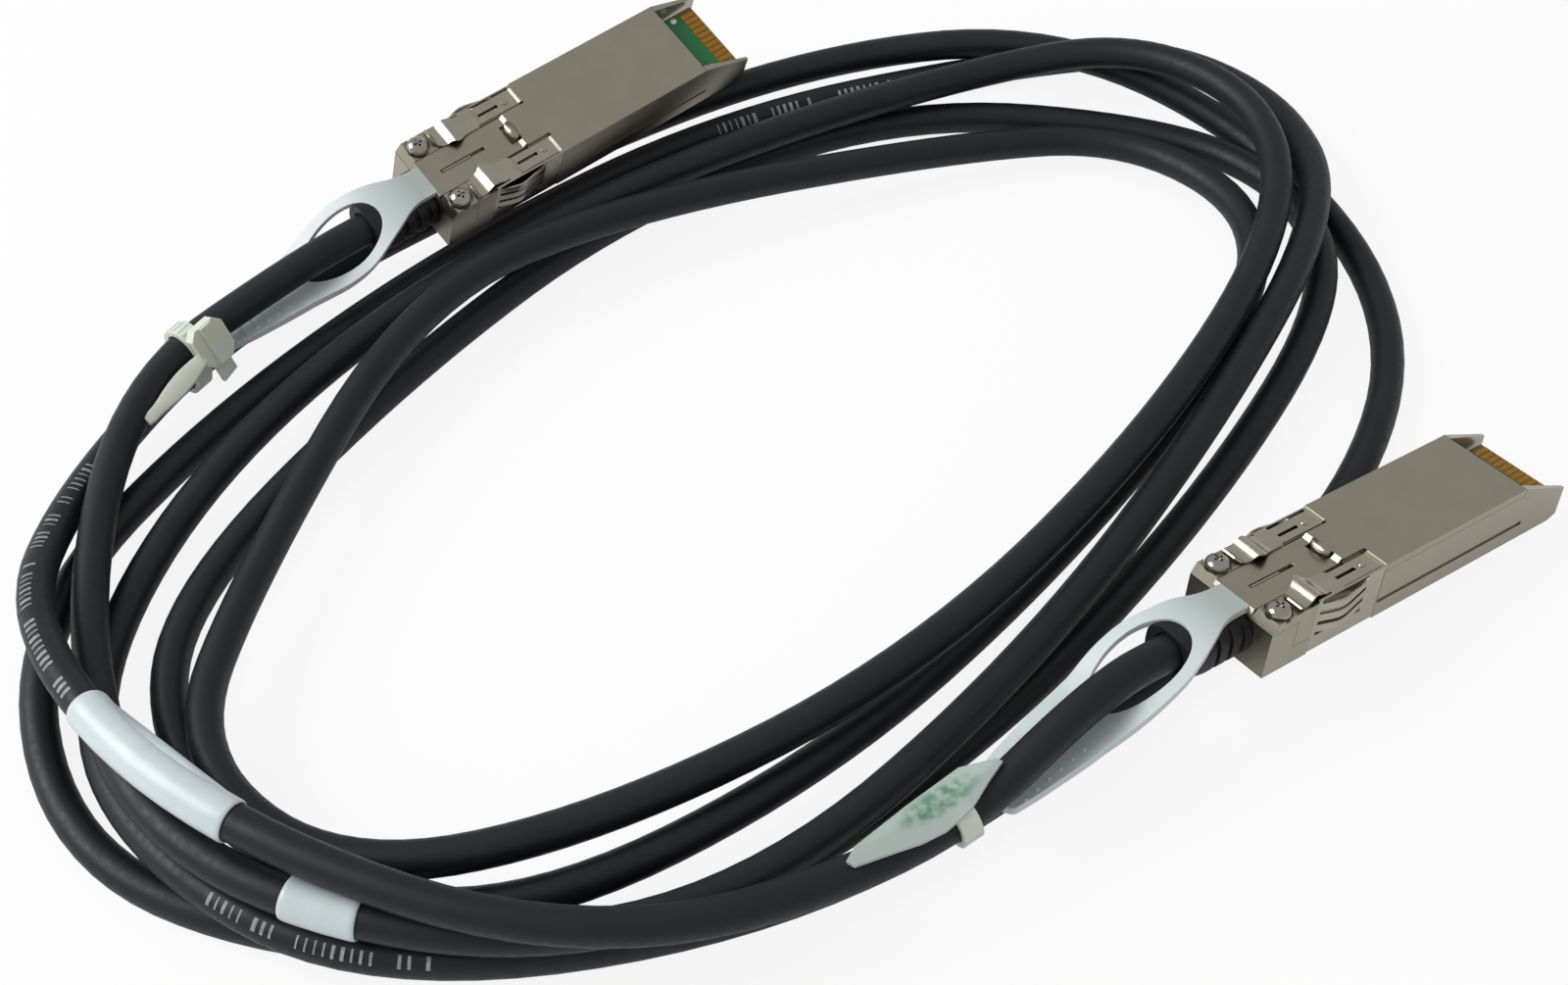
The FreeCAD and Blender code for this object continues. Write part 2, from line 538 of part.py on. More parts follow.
def strain_boot():
    """Moulded boot: flange inside the rear wall, neck through it, grooved and tapered outside."""
    start = -SEAM_GAP
    outline = [(start, BOOT_RADIUS)]
    for k in range(BOOT_GROOVES):
        x = start - 1.1 - k * BOOT_GROOVE_PITCH
        base = BOOT_RADIUS - BOOT_GROOVE_CUT
        outline += [(x, BOOT_RADIUS), (x, base), (x - BOOT_GROOVE_WIDTH, base),
                    (x - BOOT_GROOVE_WIDTH, BOOT_RADIUS)]
    outline += [(-BOOT_RIBBED, BOOT_RADIUS), (-BOOT_LENGTH, BOOT_TIP_RADIUS), (-BOOT_LENGTH, 0),
                (start, 0)]
    loop = [V(x, 0, r) for x, r in outline]
    boot = Part.Face(Part.makePolygon(loop + loop[:1])).revolve(V(0, 0, 0), V(1, 0, 0), 360)
    boot.translate(V(0, 0, CABLE_AXIS_Z))
    flange_start = REAR_WALL + FIT_GAP
    flange = rod(BOOT_RADIUS + 0.35, flange_start, flange_start + BOOT_FLANGE, 0, CABLE_AXIS_Z)
    flange = flange.common(centred(0, SHELL_LENGTH, HALF, FLOOR + 0.05, DECK_UNDER - 0.05))
    neck = rod(BOOT_NECK_RADIUS, start, flange_start + 0.1, 0, CABLE_AXIS_Z)
    boot = boot.fuse(neck).fuse(flange)
    mouth = rod(JACKET_RADIUS + BOOT_MOUTH_GAP, -BOOT_LENGTH - 1, -BOOT_RIBBED - 1, 0, CABLE_AXIS_Z)
    bore = rod(JACKET_RADIUS + FIT_GAP, -BOOT_LENGTH - 1, 5, 0, CABLE_AXIS_Z)
    return boot.cut(bore).cut(mouth).removeSplitter()


def oval(x0, x1, half, z0, z1):
    """Elliptic plan from x0 to x1, raised from z0 to z1."""
    middle = V((x0 + x1) / 2, 0, z0)
    reach = abs(x1 - x0) / 2
    ends = [middle + V(reach, 0, 0), middle + V(0, half, 0)]
    if half > reach:
        ends.reverse()
    curve = Part.Ellipse(ends[0], ends[1], middle)
    return Part.Face(Part.Wire(curve.toShape())).extrude(V(0, 0, z1 - z0))


def pull_tab(bends):
    """Moulded tab: neck round the slider, oval ring round the cable, ribbed paddle under it."""
    sheet_z = (SLIDER_LOW + SLIDER_TOP) / 2
    corners = [(-NECK_GAP, sheet_z), (RING_START - 0.9, sheet_z), (RING_END + 1.5, bends[0]),
               (PADDLE_END, bends[1])]
    low = min(bends) - 3
    high = sheet_z + 3
    sheet = across(ribbon(eased(corners, share=0.2), TAB_THICKNESS), -HALF - 2, HALF + 2)
    rim = RING_OUTER_HALF - RING_INNER_HALF
    plan = centred(RING_START - 2, -NECK_GAP, NECK_HALF, low, high)
    plan = plan.fuse(oval(RING_START + rim, RING_END - rim, RING_OUTER_HALF, low, high))
    plan = plan.fuse(centred(PADDLE_END + 2, RING_END + 2.5, PADDLE_HALF, low, high))
    plan = plan.fuse(oval(PADDLE_END, PADDLE_END + 4, PADDLE_HALF, low, high))
    plan = plan.cut(oval(RING_START, RING_END, RING_INNER_HALF, low - 1, high + 1))
    tab = sheet.common(plan)
    slope = (bends[1] - bends[0]) / (PADDLE_END - RING_END - 1.5)
    for k in range(TAB_RIBS):
        x = PADDLE_END + 2.2 + k * TAB_RIB_PITCH
        z = bends[1] + (x - PADDLE_END) * slope + TAB_THICKNESS / 2
        tab = tab.fuse(centred(x, x + TAB_RIB_WIDTH, PADDLE_HALF - 1, z - 0.3, z + TAB_RIB_HEIGHT))
    neck = centred(-NECK_GAP - NECK_LENGTH, -NECK_GAP, NECK_HALF, sheet_z - NECK_THICKNESS / 2,
                   sheet_z + NECK_THICKNESS / 2)
    slider_room = centred(-NECK_GAP - NECK_LENGTH + 0.57, 1, SLIDER_HALF + 0.03,
                          SLIDER_LOW - 0.03, SLIDER_TOP + 0.03)
    return tab.fuse(neck).cut(slider_room).removeSplitter()


def centreline(points):
    """Straight runs joined by tangent arcs, each as large as its two runs allow."""
    edges, radii = [], []
    start = points[0]
    for before, corner, after in zip(points, points[1:], points[2:]):
        back = before - corner
        ahead = after - corner
        share = 0.45 * min(back.Length, ahead.Length)
        turn = math.pi - back.getAngle(ahead)
        radius = share / math.tan(turn / 2)
        back.normalize()
        ahead.normalize()
        inward = back + ahead
        inward.normalize()
        middle = corner + inward * (radius / math.cos(turn / 2) - radius)
        end = corner + ahead * share
        edges.append(Part.LineSegment(start, corner + back * share).toShape())
        edges.append(Part.Arc(corner + back * share, middle, end).toShape())
        radii.append(radius)
        start = end
    edges.append(Part.LineSegment(start, points[-1]).toShape())
    return edges, radii


def stretch(edges, start, end):
    """The edges of the centreline between two distances along it."""
    found = []
    along = 0.0
    for edge in edges:
        low = max(start - along, 0.0)
        high = min(end - along, edge.Length)
        if high - low > 0.01:
            ends = [edge.getParameterByLength(low), edge.getParameterByLength(high)]
            found.append(edge.Curve.toShape(*ends))
        along += edge.Length
    return found


def place_on(edges, distance):
    """Point and direction of the centreline at a distance along it."""
    edge = stretch(edges, distance, distance + 0.1)[0]
    return edge.valueAt(edge.FirstParameter), edge.tangentAt(edge.FirstParameter)


def hose(edges, radius):
    """Tube whose middle follows the edges: a ring of flats is swept along them."""
    first = edges[0]
    along = first.tangentAt(first.FirstParameter)
    side = along.cross(V(0, 0, 1)).normalize()
    up = side.cross(along)
    turns = [2 * math.pi * k / HOSE_SIDES for k in range(HOSE_SIDES)]
    corners = [side * (radius * math.cos(a)) + up * (radius * math.sin(a)) for a in turns]
    start = first.valueAt(first.FirstParameter)
    ring = Part.makePolygon([start + corner for corner in corners + corners[:1]])
    return Part.Wire(edges).makePipeShell([ring], True, False)


def sleeve(edges, span):
    """Printed sleeve shrunk on the jacket."""
    run = stretch(edges, *span)
    bore = (JACKET_RADIUS + FIT_GAP) / math.cos(math.pi / HOSE_SIDES)
    return hose(run, SLEEVE_RADIUS).cut(hose(run, bore))


def strap(drop):
    """Closed strap round one strand, or round two with the second one this far below it."""
    inner = JACKET_RADIUS + STRAP_GAP
    loop = []
    for radius in (inner + STRAP_THICKNESS, inner):
        disc = rod(radius, -STRAP_WIDTH / 2, STRAP_WIDTH / 2)
        if drop:
            disc = disc.fuse(centred(-STRAP_WIDTH / 2, STRAP_WIDTH / 2, radius, -drop, 0))
            disc = disc.fuse(rod(radius, -STRAP_WIDTH / 2, STRAP_WIDTH / 2, 0, -drop))
        loop.append(disc)
    return loop[0].cut(loop[1])


def left_tie(drop):
    """Strap round two strands, its head on the upper side and a leaf-shaped tail between them."""
    seat = JACKET_RADIUS + STRAP_GAP + 0.3
    head = box(-HEAD_LENGTH / 2, HEAD_LENGTH / 2, -HEAD_WIDTH / 2, HEAD_WIDTH / 2,
               seat, seat + HEAD_THICKNESS)
    long_edges = [e for e in head.Edges if abs(e.tangentAt(e.FirstParameter).z) > 0.9]
    head = head.makeFillet(0.8, long_edges)
    stub = box(-STRAP_WIDTH / 2, STRAP_WIDTH / 2, -HEAD_WIDTH / 2 - 2.2, HEAD_WIDTH / 2,
               seat + 0.3, seat + 1.1)
    head = head.fuse(stub)
    head.rotate(V(0, 0, 0), V(1, 0, 0), HEAD_TILT)
    leaf = upright([(0, 0.9), (-5, 1.1), (-9, 1.2), (-13.5, 0.7), (-13.5, -0.7), (-9, -1.2),
                    (-5, -1.1), (0, -0.9)], 0, TAIL_THICKNESS)
    leaf.rotate(V(0, 0, 0), V(0, 1, 0), TAIL_LIFT)
    leaf.rotate(V(0, 0, 0), V(1, 0, 0), HEAD_TILT + 20)
    leaf.translate(V(-HEAD_LENGTH / 2 + 0.6, -seat - 0.4, -drop * 0.1))
    return strap(drop).fuse(head).fuse(leaf).removeSplitter()


def right_tie():
    """Strap round one strand, with a flag plate and a leaf-shaped tail beside it."""
    top = JACKET_RADIUS + STRAP_GAP
    flag = upright([(0.9, 1.2), (7.1, 4.0), (6.6, 4.9), (2.1, 7.0), (-7.2, 6.3), (-15.3, 6.0),
                    (-16.2, 5.2), (-8.0, 1.6), (-1.4, 1.0)], top + 0.1, top + 0.1 + TAIL_THICKNESS)
    flag.rotate(V(0, 1.0, top), V(1, 0, 0), FLAG_SLOPE)
    return strap(0).fuse(flag).removeSplitter()


def seat_on_strand(shape, point, along, up):
    """Set a shape with its x along the strand and its z as near up as that allows."""
    along = along.normalize()
    side = up.cross(along)
    turn = FreeCAD.Rotation(along, side, up, "XZY")
    return shape.transformed(FreeCAD.Placement(point, turn).Matrix)


PIECES = {
    "base_shell": base_shell,
    "top_cover": top_cover,
    "spring_collar": spring_collar,
    "latch_slider": latch_slider,
    "return_spring": return_spring,
    "cover_screws": cover_screws,
    "paddle_card": paddle_card,
    "edge_contacts": edge_contacts,
    "memory_chip": memory_chip,
    "core_pairs": core_pairs,
    "crimp_ferrule": crimp_ferrule,
    "strain_boot": strain_boot,
}

os.makedirs("parts", exist_ok=True)


def save(name, shape):
    shape.exportStep("parts/" + name + ".step")
    print(name, len(shape.Solids), "solids", round(shape.Volume, 1), "mm3", shape.isValid())


poses = {side: FreeCAD.Placement(corner, FreeCAD.Rotation(*turn))
         for side, (corner, turn) in MODULE_POSES.items()}
for side, pose in poses.items():
    shapes = {name: make() for name, make in PIECES.items()}
    shapes["pull_tab"] = pull_tab(TAB_BENDS[side])
    for name, shape in shapes.items():
        save(side + "_" + name, shape.transformed(pose.Matrix))

leads = [[pose.multVec(V(x, 0, CABLE_AXIS_Z)) for x in (JACKET_INSIDE, -CABLE_LEAD)]
         for pose in poses.values()]
cable, radii = centreline(leads[0] + [V(*point) for point in ROUTE] + leads[1][::-1])
length = sum(edge.Length for edge in cable)
jacket = hose(cable, JACKET_RADIUS)
save("cable_jacket", jacket)
section = HOSE_SIDES / 2 * JACKET_RADIUS ** 2 * math.sin(2 * math.pi / HOSE_SIDES)
print("cable length", round(length, 1), "mm; volume over section times length",
      round(jacket.Volume / (section * length), 5))
print("arc radii", sorted(round(radius, 1) for radius in radii))
save("length_sleeve", sleeve(cable, LENGTH_SLEEVE))
save("marker_sleeve", sleeve(cable, MARKER_SLEEVE))
upper, along = place_on(cable, LEFT_TIE)
lower, beside = min((place_on(cable, distance) for distance in range(*LEFT_TIE_LOWER)),
                    key=lambda found: (found[0] - upper).Length)
along = (along + beside).normalize()
drop = (upper - lower) - along * (upper - lower).dot(along)
save("left_cable_tie", seat_on_strand(left_tie(drop.Length), upper, along * -1, drop))
point, along = place_on(cable, RIGHT_TIE)
save("right_cable_tie", seat_on_strand(right_tie(), point, along, V(0, 0, 1)))
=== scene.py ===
import bmesh
import bpy
from math import copysign, cos, pi, radians, sin
from mathutils import Euler, Matrix, Vector


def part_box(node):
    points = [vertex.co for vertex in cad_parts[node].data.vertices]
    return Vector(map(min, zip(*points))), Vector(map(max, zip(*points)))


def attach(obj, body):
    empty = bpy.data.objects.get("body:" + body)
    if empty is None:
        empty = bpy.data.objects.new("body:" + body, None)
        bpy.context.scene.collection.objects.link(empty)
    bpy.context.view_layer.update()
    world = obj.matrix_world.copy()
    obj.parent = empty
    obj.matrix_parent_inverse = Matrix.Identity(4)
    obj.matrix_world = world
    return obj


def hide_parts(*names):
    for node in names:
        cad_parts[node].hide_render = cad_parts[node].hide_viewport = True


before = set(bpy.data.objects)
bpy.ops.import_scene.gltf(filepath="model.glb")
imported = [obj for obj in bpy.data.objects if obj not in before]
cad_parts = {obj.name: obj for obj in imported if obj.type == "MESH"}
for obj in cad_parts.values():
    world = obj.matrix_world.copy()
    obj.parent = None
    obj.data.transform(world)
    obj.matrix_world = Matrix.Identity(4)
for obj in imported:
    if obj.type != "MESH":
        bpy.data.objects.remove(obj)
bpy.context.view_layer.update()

# ==== Camera ====
# It stands in front of the coil and looks down on it at 50 degrees, with its sides level,
# through a lens of about 50 mm.
MM = 0.001
scene = bpy.context.scene
scene.view_settings.view_transform = "Standard"


def linked(name, data):
    """New object of this data, in the scene."""
    made = bpy.data.objects.new(name, data)
    scene.collection.objects.link(made)
    return made


lens = bpy.data.cameras.new("camera")
lens.lens = 50.4
lens.sensor_width = 36
lens.clip_start = 0.01
camera = linked("camera", lens)
camera.location = Vector((-9.35, -203.4, 225.9)) * MM
camera.rotation_euler = (radians(40), 0, 0)
scene.camera = camera

# ==== Cable ====
# Round twin-axial cable, two shielded pairs in one extruded PVC jacket, 4.6 mm across and
# 2.6 m long. It lies in five loose turns and each end goes through a module's boot.
CABLE_RADIUS = 2.3 * MM
CABLE_AXIS_Z = 4.1  # mm above a module's underside
CABLE_END_X = 6.2  # mm in front of a module's rear face
LEAD = (-8.0, -21.0)  # mm behind it: the boot holds the cable straight behind the module
MODULES = {
    "left": ((-61.85, 31.4, 9.1), (42.0, 0.0, 19.0)),
    "right": ((43.65, -46.3, 9.65), (36.0, 9.3, -7.0)),
}
ROUTE = [  # the way between the two leads, in metres
    (-0.0975, -0.002, 0.0089), (-0.097, -0.0405, 0.0079), (-0.082, -0.0755, 0.0128),
    (-0.046, -0.089, 0.0119), (-0.0125, -0.0815, 0.0095), (0.0205, -0.0475, 0.0078),
    (0.0485, -0.0075, 0.0094), (0.0695, 0.0315, 0.0106), (0.0675, 0.059, 0.0055),
    (0.0505, 0.076, 0.0029), (0.0255, 0.073, 0.0023), (-0.018, 0.0585, 0.0033),
    (-0.0565, 0.03, 0.0032), (-0.087, -0.0025, 0.002), (-0.1045, -0.0385, 0.0046),
    (-0.0945, -0.0705, 0.0024), (-0.0655, -0.0835, 0.0024), (-0.0225, -0.0825, 0.0024),
    (0.015, -0.0555, 0.0029), (0.0465, -0.018, 0.0024), (0.069, 0.018, 0.0054),
    (0.067, 0.0405, 0.005), (0.05, 0.0565, 0.0028), (0.008, 0.0615, 0.003),
    (-0.033, 0.0395, 0.0027), (-0.063, 0.0045, 0.0032), (-0.086, -0.034, 0.004),
    (-0.084, -0.058, 0.0051), (-0.065, -0.0765, 0.0047), (-0.0395, -0.0825, 0.007),
    (-0.005, -0.061, 0.0048), (0.0245, -0.0285, 0.0015), (0.0525, 0.0065, 0.0066),
    (0.061, 0.033, 0.007), (0.0435, 0.054, 0.004), (0.016, 0.0505, 0.0047),
    (-0.0315, 0.033, 0.0091), (-0.0605, 0.013, 0.0108), (-0.077, -0.0345, 0.0071),
    (-0.08, -0.0615, 0.0091), (-0.06, -0.0795, 0.0116), (-0.031, -0.0725, 0.0104),
    (0.007, -0.0495, 0.0102), (0.0395, -0.0125, 0.0111), (0.0615, 0.0255, 0.0116),
    (0.0625, 0.05, 0.0133), (0.045, 0.0665, 0.0117), (0.0205, 0.065, 0.0077),
    (-0.0195, 0.0465, 0.008), (-0.06, 0.0195, 0.0066), (-0.087, -0.0145, 0.0045),
    (-0.096, -0.0505, 0.0039), (-0.082, -0.075, 0.0073), (-0.0535, -0.09, 0.0073),
    (-0.007, -0.08, 0.0044), (0.029, -0.054, 0.0024), (0.065, -0.0205, 0.0024),
    (0.0795, 0.0165, 0.0024), (0.0645, 0.054, 0.0033), (0.0325, 0.0735, 0.0082),
    (-0.0065, 0.0715, 0.0043), (-0.0455, 0.0475, 0.0047), (-0.088, 0.0155, 0.0029),
    (-0.1035, -0.018, 0.0045), (-0.101, -0.048, 0.0151), (-0.0745, -0.076, 0.0179),
    (-0.0305, -0.0915, 0.0157), (0.0075, -0.076, 0.011),
]


def module_frame(side):
    """Takes millimetres in a module's own frame to its place in the scene, in metres."""
    corner, (yaw, pitch, roll) = MODULES[side]
    turn = Euler((radians(roll), radians(pitch), radians(yaw))).to_matrix()
    return Matrix.Translation(Vector(corner) * MM) @ turn.to_4x4() @ Matrix.Scale(MM, 4)


def linear(code):
    """Linear colour of an sRGB hex value."""
    parts = [int(code[k:k + 2], 16) / 255 for k in (1, 3, 5)]
    return [c / 12.92 if c <= 0.04045 else ((c + 0.055) / 1.055) ** 2.4 for c in parts] + [1]


def node(tree, kind, values=None, **settings):
    """Add a node. A value that is a node's output, or a node for its first output, is linked,
    and any other is set."""
    made = tree.nodes.new(kind)
    for name, setting in settings.items():
        setattr(made, name, setting)
    for socket, value in (values or {}).items():
        if isinstance(value, bpy.types.Node):
            value = value.outputs[0]
        if isinstance(value, bpy.types.NodeSocket):
            tree.links.new(value, made.inputs[socket])
        else:
            made.inputs[socket].default_value = value
    return made


def new_material(name):
    material = bpy.data.materials.new(name)
    material.use_nodes = True
    material.node_tree.nodes.clear()
    return material, material.node_tree


def per(size):
    """Texture scale at which one grain of the pattern is this many millimetres."""
    return 1 / (size * MM)


# Extruded PVC, charcoal with a satin skin: a dull sheen, a faint mottle from handling, and the
# fine grain that the die leaves.
jacket_pvc, tree = new_material("satin_pvc_jacket")
place = node(tree, "ShaderNodeTexCoord").outputs["Object"]
mottle = node(tree, "ShaderNodeTexNoise", {"Vector": place, "Scale": per(7), "Detail": 4.0})
scuff = node(tree, "ShaderNodeTexNoise", {"Vector": place, "Scale": per(0.9), "Detail": 6.0})
grain = node(tree, "ShaderNodeTexNoise", {"Vector": place, "Scale": per(0.22), "Detail": 3.0})
colour = node(tree, "ShaderNodeMix", {0: mottle, 6: linear("#131518"),
                                      7: linear("#1d2023")}, data_type="RGBA")
gloss = node(tree, "ShaderNodeMapRange", {0: scuff, 1: 0.3, 2: 0.7, 3: 0.4, 4: 0.56})
bump = node(tree, "ShaderNodeBump", {"Height": grain, "Distance": 0.02 * MM, "Strength": 0.35})
shader = node(tree, "ShaderNodeBsdfPrincipled", {
    "Base Color": colour.outputs[2], "Roughness": gloss, "IOR": 1.52,
    "Specular IOR Level": 0.3, "Normal": bump})
node(tree, "ShaderNodeOutputMaterial", {"Surface": shader})

ends = {}
for side in MODULES:
    pose = module_frame(side)
    ends[side] = [pose @ Vector((x, 0, CABLE_AXIS_Z)) for x in (CABLE_END_X, *LEAD)]
points = ends["left"] + [Vector(point) for point in ROUTE] + ends["right"][::-1]
cable_curve = bpy.data.curves.new("cable", "CURVE")
cable_curve.dimensions = "3D"
cable_curve.resolution_u = 10
spline = cable_curve.splines.new("NURBS")
spline.points.add(len(points) - 1)
for knot, point in zip(spline.points, points):
    knot.co = (*point, 1)
spline.order_u = 3
spline.use_endpoint_u = True
cable = linked("cable", cable_curve)
cable_line = [v.co.copy() for v in bpy.data.meshes.new_from_object(cable).vertices]
cable_curve.bevel_depth = CABLE_RADIUS
cable_curve.bevel_resolution = 8
cable_curve.use_fill_caps = True
cable_curve.materials.append(jacket_pvc)
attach(cable, "cable_set")
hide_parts("cable_jacket")

distances = [0.0]
for before, after in zip(cable_line, cable_line[1:]):
    distances.append(distances[-1] + (after - before).length)


def on_cable(distance):
    """Point and direction of the cable's middle at a distance from its left end, in metres."""
    k = max(i for i, d in enumerate(distances[:-1]) if d <= distance)
    run = cable_line[k + 1] - cable_line[k]
    return cable_line[k] + run * ((distance - distances[k]) / run.length), run.normalized()


def nearest_on_cable(point):
    """Distance along the cable at which its middle passes nearest to a point."""
    k = min(range(len(cable_line)), key=lambda i: (cable_line[i] - point).length)
    around = [distances[k] + step * MM / 4 for step in range(-12, 13)]
    return min(around, key=lambda d: (on_cable(d)[0] - point).length)


# ==== Marks printed on the jacket ====
# Ink-jet marks in pale ink, run along the jacket while it is extruded. They are plain strokes
# in groups here: each stroke is a small patch bent round the jacket.
MARK_RUNS = ((430, 461), (1958, 1986), (2368, 2392), (2402, 2451))
MARK_PITCH = 1.0 * MM
MARK_STROKE = 0.26 * MM
MARK_HEIGHT = 1.6 * MM
MARK_LIFT = 0.02 * MM
MARK_SIDE = (0, -0.64, 0.77)  # the marks face the front and up on these stretches
MARK_GROUP = 11  # strokes in a group, of which the first two are left out
MARK_SHARE = 0.86  # of the other strokes are there
MARK_WIDTHS = (0.7, 2.1)  # least and greatest width of a stroke, in MARK_STROKE

# Pigment ink, dried matt, pale grey where it is whole and dark where it has worn off.
pale_ink, tree = new_material("pale_marking_ink")
place = node(tree, "ShaderNodeTexCoord").outputs["Object"]
worn = node(tree, "ShaderNodeTexNoise", {"Vector": place, "Scale": per(0.8), "Detail": 5.0})
colour = node(tree, "ShaderNodeMix", {0: worn, 6: linear("#3a3f43"),
                                      7: linear("#b4babd")}, data_type="RGBA")
shader = node(tree, "ShaderNodeBsdfPrincipled", {"Base Color": colour.outputs[2],
                                                 "Roughness": 0.6})
node(tree, "ShaderNodeOutputMaterial", {"Surface": shader})


def new_tree(name, inputs):
    """Geometry Nodes tree with one geometry in and out, and named inputs of these kinds."""
    tree = bpy.data.node_groups.new(name, "GeometryNodeTree")
    face = tree.interface
    face.new_socket("Geometry", in_out="OUTPUT", socket_type="NodeSocketGeometry")
    face.new_socket("Geometry", in_out="INPUT", socket_type="NodeSocketGeometry")
    for label, kind in inputs.items():
        face.new_socket(label, in_out="INPUT", socket_type="NodeSocket" + kind)
    return tree, node(tree, "NodeGroupInput").outputs


def spaced(tree, given):
    """Points on the line given, one pitch apart."""
    line = node(tree, "GeometryNodeMeshToCurve", {0: given["Geometry"]})
    return node(tree, "GeometryNodeResampleCurve",
                  {"Curve": line, "Length": given["Pitch"]}, mode="LENGTH")


def turned(tree, given, axis):
    """Rotation with x along the line and this axis towards the side given."""
    tangent = node(tree, "GeometryNodeInputTangent")
    turn = node(tree, "FunctionNodeAlignRotationToVector", {"Vector": tangent}, axis="X")
    return node(tree, "FunctionNodeAlignRotationToVector",
                  {"Rotation": turn, "Vector": given["Side"]}, axis=axis, pivot_axis="X")


def spread(tree, given, values):
    """Finish a tree with one piece on each point, as real geometry in its material."""
    pieces = node(tree, "GeometryNodeInstanceOnPoints", values)
    pieces = node(tree, "GeometryNodeRealizeInstances", {0: pieces})
    pieces = node(tree, "GeometryNodeSetMaterial", {0: pieces, "Material": given["Material"]})
    node(tree, "NodeGroupOutput", {0: pieces})


def baked(holder):
    """Mesh of an object with its modifiers."""
    shape = holder.evaluated_get(bpy.context.evaluated_depsgraph_get())
    return bpy.data.meshes.new_from_object(shape)


def grown(name, tree, base, values):
    """Object with the plain mesh that a tree grows from a base, with values of its inputs."""
    holder = linked(name, base)
    growth = holder.modifiers.new("growth", "NODES")
    growth.node_group = tree
    for item in tree.interface.items_tree:
        if item.in_out == "INPUT" and item.name in values:
            growth[item.identifier] = values[item.name]
    mesh = baked(holder)
    holder.modifiers.remove(growth)
    holder.data = mesh
    return holder


def line_mesh(points):
    mesh = bpy.data.meshes.new("line")
    mesh.from_pydata(points, [(k, k + 1) for k in range(len(points) - 1)], [])
    return mesh


def cable_stretch(start, end, step=0.5):
    """Points of the cable's middle between two distances in millimetres."""
    count = round((end - start) / step)
    return [on_cable((start + (end - start) * k / count) * MM)[0] for k in range(count + 1)]


marks_tree, given = new_tree("printed_marks", {
    "Pitch": "Float", "Stroke": "Float", "Height": "Float", "Radius": "Float",
    "Side": "Vector", "Group": "Int", "Seed": "Int", "Material": "Material"})
tree = marks_tree
patch = node(tree, "GeometryNodeMeshGrid", {
    "Size X": given["Stroke"], "Size Y": given["Height"], "Vertices X": 2, "Vertices Y": 7})
flat = node(tree, "GeometryNodeInputPosition")
spot = node(tree, "ShaderNodeSeparateXYZ", {0: flat}).outputs
angle = node(tree, "ShaderNodeMath", {0: spot[1], 1: given["Radius"]}, operation="DIVIDE")
sine = node(tree, "ShaderNodeMath", {0: angle}, operation="SINE")
cosine = node(tree, "ShaderNodeMath", {0: angle}, operation="COSINE")
across = node(tree, "ShaderNodeMath", {0: sine, 1: given["Radius"]}, operation="MULTIPLY")
out = node(tree, "ShaderNodeMath", {0: cosine, 1: given["Radius"]}, operation="MULTIPLY")
bent = node(tree, "ShaderNodeCombineXYZ", {0: spot[0], 1: across, 2: out})
patch = node(tree, "GeometryNodeSetPosition", {0: patch, "Position": bent})
index = node(tree, "GeometryNodeInputIndex")
last = node(tree, "ShaderNodeMath", {0: index, 1: given["Group"]}, operation="MODULO")
in_group = node(tree, "ShaderNodeMath", {0: last, 1: 1.5}, operation="GREATER_THAN")
present = node(tree, "FunctionNodeRandomValue", {
    "Probability": MARK_SHARE, "Seed": given["Seed"]}, data_type="BOOLEAN").outputs[3]
kept = node(tree, "FunctionNodeBooleanMath", {0: in_group, 1: present}, operation="AND")
width = node(tree, "FunctionNodeRandomValue", {
    2: MARK_WIDTHS[0], 3: MARK_WIDTHS[1], "Seed": given["Seed"]}, data_type="FLOAT").outputs[1]
size = node(tree, "ShaderNodeCombineXYZ", {0: width, 1: 1.0, 2: 1.0})
spread(tree, given, {
    "Points": spaced(tree, given), "Selection": kept, "Instance": patch,
    "Rotation": turned(tree, given, "Z"), "Scale": size})

for k, (start, end) in enumerate(MARK_RUNS):
    marks = grown("jacket_marks_%d" % (k + 1), marks_tree, line_mesh(cable_stretch(start, end)), {
        "Pitch": MARK_PITCH, "Stroke": MARK_STROKE, "Height": MARK_HEIGHT,
        "Radius": CABLE_RADIUS + MARK_LIFT, "Side": MARK_SIDE, "Group": MARK_GROUP,
        "Seed": k + 3, "Material": pale_ink})
    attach(marks, "cable_set")

# ==== Sleeves ====
# Two lengths of white heat-shrink film on the jacket, a long one for the cable's label and a
# short one. Each has soft rolled ends where it has shrunk down.
SLEEVE_RADIUS = 2.65
SLEEVE_SIDES = 48
SLEEVES = {  # half length, and the way along the cable from the CAD piece's middle, in mm
    "length_sleeve": (12.7, 0.7),
    "marker_sleeve": (4.4, 3.0),
}

# Shrunk polyolefin film: a cool white with a soft sheen, faintly rippled.
white_film, tree = new_material("white_shrink_film")
place = node(tree, "ShaderNodeTexCoord").outputs["Object"]
cloud = node(tree, "ShaderNodeTexNoise", {"Vector": place, "Scale": per(5), "Detail": 3.0})
ripple = node(tree, "ShaderNodeTexNoise", {"Vector": place, "Scale": per(1.6), "Detail": 2.0})
colour = node(tree, "ShaderNodeMix", {0: cloud, 6: linear("#bccacb"),
                                      7: linear("#cfdadb")}, data_type="RGBA")
bump = node(tree, "ShaderNodeBump", {"Height": ripple, "Distance": 0.06 * MM, "Strength": 0.4})
shader = node(tree, "ShaderNodeBsdfPrincipled", {
    "Base Color": colour.outputs[2], "Roughness": 0.32, "IOR": 1.5, "Normal": bump,
    "Subsurface Weight": 0.15, "Subsurface Scale": 0.6 * MM})
node(tree, "ShaderNodeOutputMaterial", {"Surface": shader})


def coat(mesh, material):
    """Give a mesh this material alone."""
    mesh.materials.clear()
    mesh.materials.append(material)


